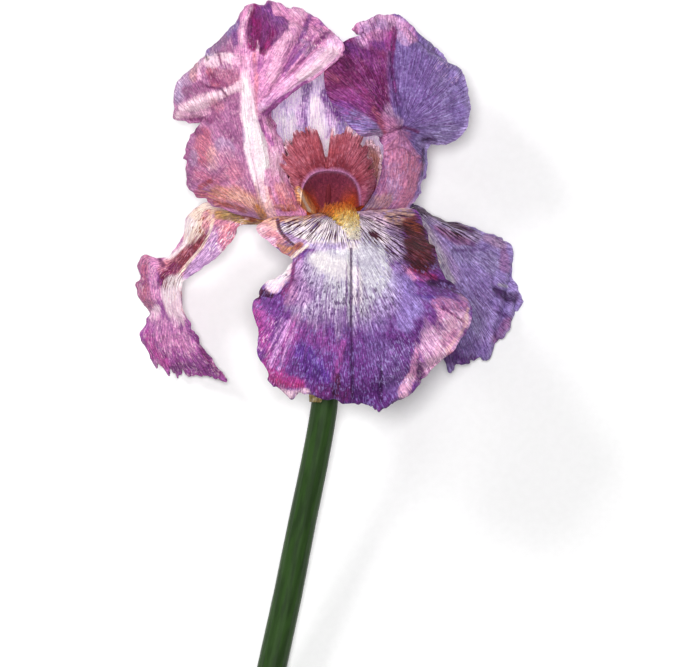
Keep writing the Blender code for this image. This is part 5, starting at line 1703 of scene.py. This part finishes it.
def frame_on(petal, u, v, faces):
    """Places on a blade with the way out of its face, along it and across it."""
    step = 0.004
    at = blade_points(petal, u, v)
    ahead = unit_vectors(blade_points(petal, u, v + step) - blade_points(petal, u, v - step))
    across = unit_vectors(blade_points(petal, u + step, v) - blade_points(petal, u - step, v))
    normal = unit_vectors(np.cross(across, ahead))
    normal *= np.sign(normal @ np.array(faces, float))[:, None]
    return at, normal, ahead, unit_vectors(np.cross(ahead, normal))


def beard(side, petal):
    """Tapered hairs standing out of a soft core, orange deep in the flower and cream at the end."""
    name = "beard_" + side
    draw = np.random.default_rng(11)
    count = BEARD_HAIRS[side]
    start, end = BEARD_SPAN[side]
    share = draw.uniform(0, 1, count)
    place = draw.uniform(-1, 1, count)
    taper = np.interp(share, [0, 0.3, 0.65, 1], [1, 1, 0.8, 0.4])
    along = start + (end - start) * share
    half = np.full(count, 0.5)
    width = np.linalg.norm(
        blade_points(petal, half + 0.05, along) - blade_points(petal, half - 0.05, along), axis=-1
    )
    offset = (place * taper + 0.3 * share) * BEARD_HALF_WIDTHS[side] / width * 0.1
    at, normal, ahead, aside = frame_on(petal, half + offset, along, BEARD_FACES[side])
    lean = place * 1.0 + draw.normal(0, 0.3, count)
    forward = draw.uniform(-0.2, 0.9, count)
    way = unit_vectors(normal + aside * lean[:, None] + ahead * forward[:, None])
    bend = ahead * draw.uniform(0, 0.5, (count, 1)) + draw.normal(0, 0.22, (count, 3))
    length = HAIR_LENGTH * draw.uniform(0.6, 1.1, count) * (0.55 + 0.45 * taper)
    curve = bpy.data.curves.new(name, "CURVE")
    curve.dimensions = "3D"
    curve.bevel_depth = UNIT
    curve.bevel_resolution = 0
    curve.use_fill_caps = True
    steps = np.linspace(0, 1, HAIR_POINTS)
    hairs = at[:, None] + length[:, None, None] * (
        way[:, None] * steps[:, None] + bend[:, None] * steps[:, None] ** 2 * 0.5
    )
    hair_radii = HAIR_RADIUS * (1 - 0.85 * steps**1.5)
    ring = np.arange(CORE_RINGS)
    rows = np.linspace(start, end, CORE_RINGS)
    core_at, core_normal, _, _ = frame_on(petal, 0 * rows + 0.5, rows, BEARD_FACES[side])
    core_taper = np.clip(np.minimum(ring, ring[::-1]) / 3 + 0.3, 0, 1)
    core = core_at + core_normal * (HALF_PETAL + GAP + CORE_RADIUS * 0.6)
    for points, radii in [(core, CORE_RADIUS * core_taper), *((hair, hair_radii) for hair in hairs)]:
        spline = curve.splines.new("POLY")
        spline.points.add(len(points) - 1)
        for target, point, radius in zip(spline.points, points, radii):
            target.co = (*(point * UNIT), 1)
            target.radius = radius
    mesh = as_mesh(bpy.data.objects.new(name, curve))
    form = bmesh.new()
    form.from_mesh(mesh)
    bmesh.ops.remove_doubles(form, verts=form.verts[:], dist=1e-7)
    bmesh.ops.recalc_face_normals(form, faces=form.faces[:])
    form.to_mesh(mesh)
    form.free()
    give(mesh, "ground", beard_colours(mesh, share, hairs))
    return finished(name, mesh, "beard")


def beard_colours(mesh, share, hairs):
    """Each hair's own tone by where it stands along the beard, dark at its root as painted shade among the
    hairs, pale at its tip.
    """
    tree = KDTree(hairs.shape[0] * HAIR_POINTS)
    for index, point in enumerate(hairs.reshape(-1, 3)):
        tree.insert(point * UNIT, index)
    tree.balance()
    nearest = np.array([tree.find(vertex.co)[1] for vertex in mesh.vertices])
    hair, step = nearest // HAIR_POINTS, nearest % HAIR_POINTS / (HAIR_POINTS - 1)
    draw = np.random.default_rng(12)
    shift = draw.normal(0, 0.07, len(share))
    tone = draw.uniform(0.5, 1.4, (len(share), 1))
    paints = np.array([linear(name) for name in BEARD_COLOURS])
    colour = curve_through(paints, np.clip(share + shift, 0, 1)[hair]) * tone[hair]
    # Painted shade: each hair darkens towards its root, deep among the others.
    root = (0.2 + 0.4 * share[hair])[:, None]
    colour = colour * (root + (1 - root) * ramp(step, 0, 0.5)[:, None])
    tip = (ramp(step, 0.5, 1) * 0.4)[:, None]
    colour = colour + (linear("cream") - colour) * tip * ramp(share, 0.4, 1)[hair][:, None]
    return np.concatenate([np.clip(colour, 0, 1), np.ones((len(colour), 1))], 1)


def rings_along(centre, radius, sides, shape):
    """Rings of points round a line of centres, turned square to it. The shape scales the radius."""
    ahead = unit_vectors(np.gradient(centre, axis=0))
    aside = unit_vectors(np.cross(ahead, np.array([0.0, 0.0, 1.0]) + 1e-3))
    above = np.cross(aside, ahead)
    angle = np.linspace(0, 2 * math.pi, sides, endpoint=False)[:, None]
    reach = radius * shape(angle)
    right, up = reach * np.cos(angle), reach * np.sin(angle)
    return centre + right[..., None] * aside + up[..., None] * above


# A stamen's route in its own plane: out from the axis, up it, and radius
STAMEN_ROUTE = [
    (6.0, 0, 0.9), (9, 7, 0.9), (15, 14, 0.9), (21, 21, 0.9), (26, 26, 1.9), (34, 34, 2.2),
    (42, 41, 1.9), (47, 45, 0.8),
]
STAMEN_RINGS = 60


def stamen(side, turn):
    """A filament with a long two-lobed anther under its style arm."""
    share = np.linspace(0, 1, STAMEN_RINGS)
    out, up, radius = curve_through(STAMEN_ROUTE, share).T
    centre = about_heart(turn, out, 0 * out, up)
    anther = ramp(share, 0.5, 0.58)
    # The filament and anther are painted dark plum and brick: painted shade for the dark tunnel under the
    # style arm.
    ground = linear("plum") + (linear("deep brick") - linear("plum")) * anther[:, None]
    ground = np.column_stack([ground, 1 + 0 * share])
    rings = rings_along(centre, radius, 16, lambda angle: 1 + 0.14 * np.cos(2 * angle) * anther)
    return stalk("stamen_" + side, "stamen", rings, ground)


# The stem's route and radius from the foot of the ovary to its cut end
STEM_ROUTE = [
    (327, 352, 100), (325, 400, 94), (316, 455, 82), (301, 528, 64), (287, 598, 48),
    (272, 667, 34), (258, 735, 22), (246, 800, 15),
]
STEM_RADII = [11.5, 13, 13.4, 13.8, 14.2, 14.5, 14.8, 15]
STEM_RINGS = 160
# The rings of the cut face, as shares of the stem's radius
CUT_RINGS = (0.96, 0.9, 0.6, 0.3, 0.05)


def stem():
    """A round stalk with faint ribs, cut clean at its end."""
    along = np.linspace(0, 1, STEM_RINGS)
    centre = curve_through(placed(STEM_ROUTE), along)
    radius = curve_through(np.array(STEM_RADII)[:, None], along)[:, 0]
    rings = rings_along(centre, radius, 64, lambda angle: 1 + 0.012 * np.cos(14 * angle))
    rings += 0.12 * soft_noise(rings / 9, 3)[..., None]
    rings[..., 2] = np.maximum(rings[..., 2], 0)
    rim = rings[:, -1:]
    middle = rim.mean(0)
    cut = [middle + (rim - middle) * share for share in CUT_RINGS]
    ground = np.zeros((STEM_RINGS + len(CUT_RINGS), 4))
    ground[STEM_RINGS:] = (*linear("pith"), 0.8)
    return stalk("stem", "stem", np.concatenate([rings, *cut], 1), ground)


# The ovary and flower tube: distance down the axis and radius
OVARY_PROFILE = [
    (0, 10.6), (4, 10.4), (14, 8.6), (32, 7.6), (48, 8.2), (60, 11.2), (76, 13.2),
    (96, 13.4), (110, 12.2), (117, 10.5),
]
OVARY_FOOT = (327, 350, 100)
OVARY_RINGS = 70


def ovary():
    """A three-lobed ovary with the slim flower tube above it."""
    top = HEART_AT - np.array([0, 1.4 * GAP, 0])
    foot = placed(OVARY_FOOT)
    share = np.linspace(0, 1, OVARY_RINGS)
    down, radius = np.array(OVARY_PROFILE, float).T
    radius = np.interp(share * down[-1], down, radius)
    lobed = ramp(share, 0.35, 0.6)
    centre = top + (foot - top) * share[:, None]

    def shape(angle):
        return 1 + (0.05 * np.cos(3 * angle) - 0.02 * np.cos(6 * angle)) * lobed - 0.02

    return stalk("ovary", "ovary", rings_along(centre, radius, 48, shape))


# A bract wraps part of the ovary: distance down from the heart, radius and half its spread
BRACT_OUTER = [
    (172, 15.0, 62), (150, 17.4, 78), (120, 19.6, 92), (90, 19.2, 80), (66, 16.6, 50), (48, 14.6, 8),
]
BRACT_INNER = [
    (160, 14.4, 60), (140, 14.6, 74), (115, 16.6, 84), (85, 16.2, 72), (58, 13.4, 44), (40, 12.0, 8),
]
BRACT_TURNS = {"outer": -75, "inner": 105}
BRACT_GRID = (61, 81)
BRACT_LENGTH = 120


def axis_at(down):
    """The point of the flower's axis, or of the stem, at a distance below the heart."""
    line = np.vstack([[HEART_AT], placed(STEM_ROUTE[:3])])
    distance = HEART_AT[1] - line[:, 1]
    return np.stack([np.interp(down, distance, line[:, k]) for k in range(3)], -1)


def bract(side, profile, seed):
    """A dry papery valve with long veins, browned along its edges and tip."""
    across, along = (np.linspace(0, 1, lines) for lines in BRACT_GRID)
    down, radius, spread = curve_through(profile, along).T
    u, v = np.meshgrid(across, along, indexing="ij")
    angle = np.radians(BRACT_TURNS[side] + (2 * u - 1) * spread)
    ring = np.stack([np.sin(angle), 0 * angle, np.cos(angle)], -1)
    folds = 0.35 * wobble(u, 14, seed) * ramp(v, 0, 0.2) + 0.3 * soft_noise(ring * 3 + v[..., None] * 4, seed)
    points = axis_at(down)[None] + ring * (radius + folds)[..., None]
    width = np.linalg.norm(points[-1] - points[0], axis=-1)[None]
    margin = np.minimum(np.minimum(u, 1 - u) * width, (1 - v) * BRACT_LENGTH)
    paint = Paint(Reading(points, u, v, vein_way(points, u, v), margin), "straw", seed)
    paint.lay("ground", "leaf green", 0.55, 1 - ramp(v + 0.1 * paint.ragged, 0.1, 0.6))
    paint.lay("ground", "bract brown", 0.8, ramp(v + 0.12 * paint.ragged, 0.5, 0.95))
    paint.rim("ground", "bract brown", 3, 0.8)
    paint.wash("stripe", "olive", 0.5)
    paint.wash("vein", "bract brown", 0.6)
    paint.wash("fleck", "cream", 0.3)
    return blade("bract_" + side, "bract", paint, BRACT_THICKNESS)


PETALS = {
    "standard_left": (STANDARD_LEFT, paint_standard_left),
    "standard_right": (STANDARD_RIGHT, paint_standard_right),
    "standard_back": (STANDARD_BACK, paint_standard_back),
    "fall_front": (FALL_FRONT, paint_fall_front),
    "fall_right": (FALL_RIGHT, paint_fall_right),
    "fall_left": (FALL_LEFT, paint_fall_left),
}
FALLS = {"front": FALL_FRONT, "right": FALL_RIGHT, "left": FALL_LEFT}

# The view of the photograph, looking straight down on the bloom's face
PICTURE = (679, 667)
CAMERA_HEIGHT = 4.0
SENSOR = 0.036
HEART_HEIGHT = HEART[2] * UNIT


def camera():
    """A long lens high above the flower, so that a plan unit fills one pixel."""
    view = bpy.data.cameras.new("camera")
    view.sensor_width = SENSOR * 1000
    view.lens = 1000 * SENSOR * (CAMERA_HEIGHT - HEART_HEIGHT) / (PICTURE[0] * UNIT)
    holder = bpy.data.objects.new("camera", view)
    holder.location = (
        (PICTURE[0] / 2 - PLAN_MIDDLE[0]) * UNIT,
        (PLAN_MIDDLE[1] - PICTURE[1] / 2) * UNIT,
        CAMERA_HEIGHT,
    )
    bpy.context.scene.collection.objects.link(holder)
    bpy.context.scene.camera = holder


def lamp(name, at, size, power):
    """A square soft light that looks at the bloom."""
    light = bpy.data.lights.new(name, "AREA")
    light.size = size
    light.energy = power
    holder = bpy.data.objects.new(name, light)
    holder.location = at
    aim = Vector((0, 0.05, 0.03)) - Vector(at)
    holder.rotation_euler = aim.to_track_quat("-Z", "Y").to_euler()
    bpy.context.scene.collection.objects.link(holder)


def studio():
    """A pale floor under soft light from the upper left, with an even white sky."""
    form = bmesh.new()
    bmesh.ops.create_grid(form, x_segments=4, y_segments=4, size=2.5)
    mesh = mesh_of(form, "floor")
    mesh.materials.append(floor_finish())
    floor = bpy.data.objects.new("floor", mesh)
    bpy.context.scene.collection.objects.link(floor)
    lamp("window", (-1.0, 0.9, 1.2), 0.5, 14)
    lamp("overhead", (-0.05, 0.12, 3.0), 0.5, 70)
    world = bpy.data.worlds.new("even sky")
    world.use_nodes = True
    world.node_tree.nodes["Background"].inputs[0].default_value = (1.0, 1.0, 1.0, 1)
    world.node_tree.nodes["Background"].inputs[1].default_value = 0.2
    bpy.context.scene.world = world
    bpy.context.scene.view_settings.view_transform = "Standard"


def flower():
    for name, (petal, paint) in PETALS.items():
        blade(name, petal.kind, paint(read_blade(petal)), PETAL_THICKNESS)
    for seed, (side, turn) in enumerate(FALL_TURNS.items()):
        front = side == "front"
        reading = read_style(turn, 1.0 if front else 0.85, STYLE_FINE[side], 60 + seed)
        blade("style_" + side, "style", paint_style(reading, front, 70 + seed), STYLE_THICKNESS)
        stamen(side, turn)
        beard(side, FALLS[side])
    ovary()
    bract("outer", BRACT_OUTER, 80)
    bract("inner", BRACT_INNER, 90)
    stem()


camera()
studio()
flower()
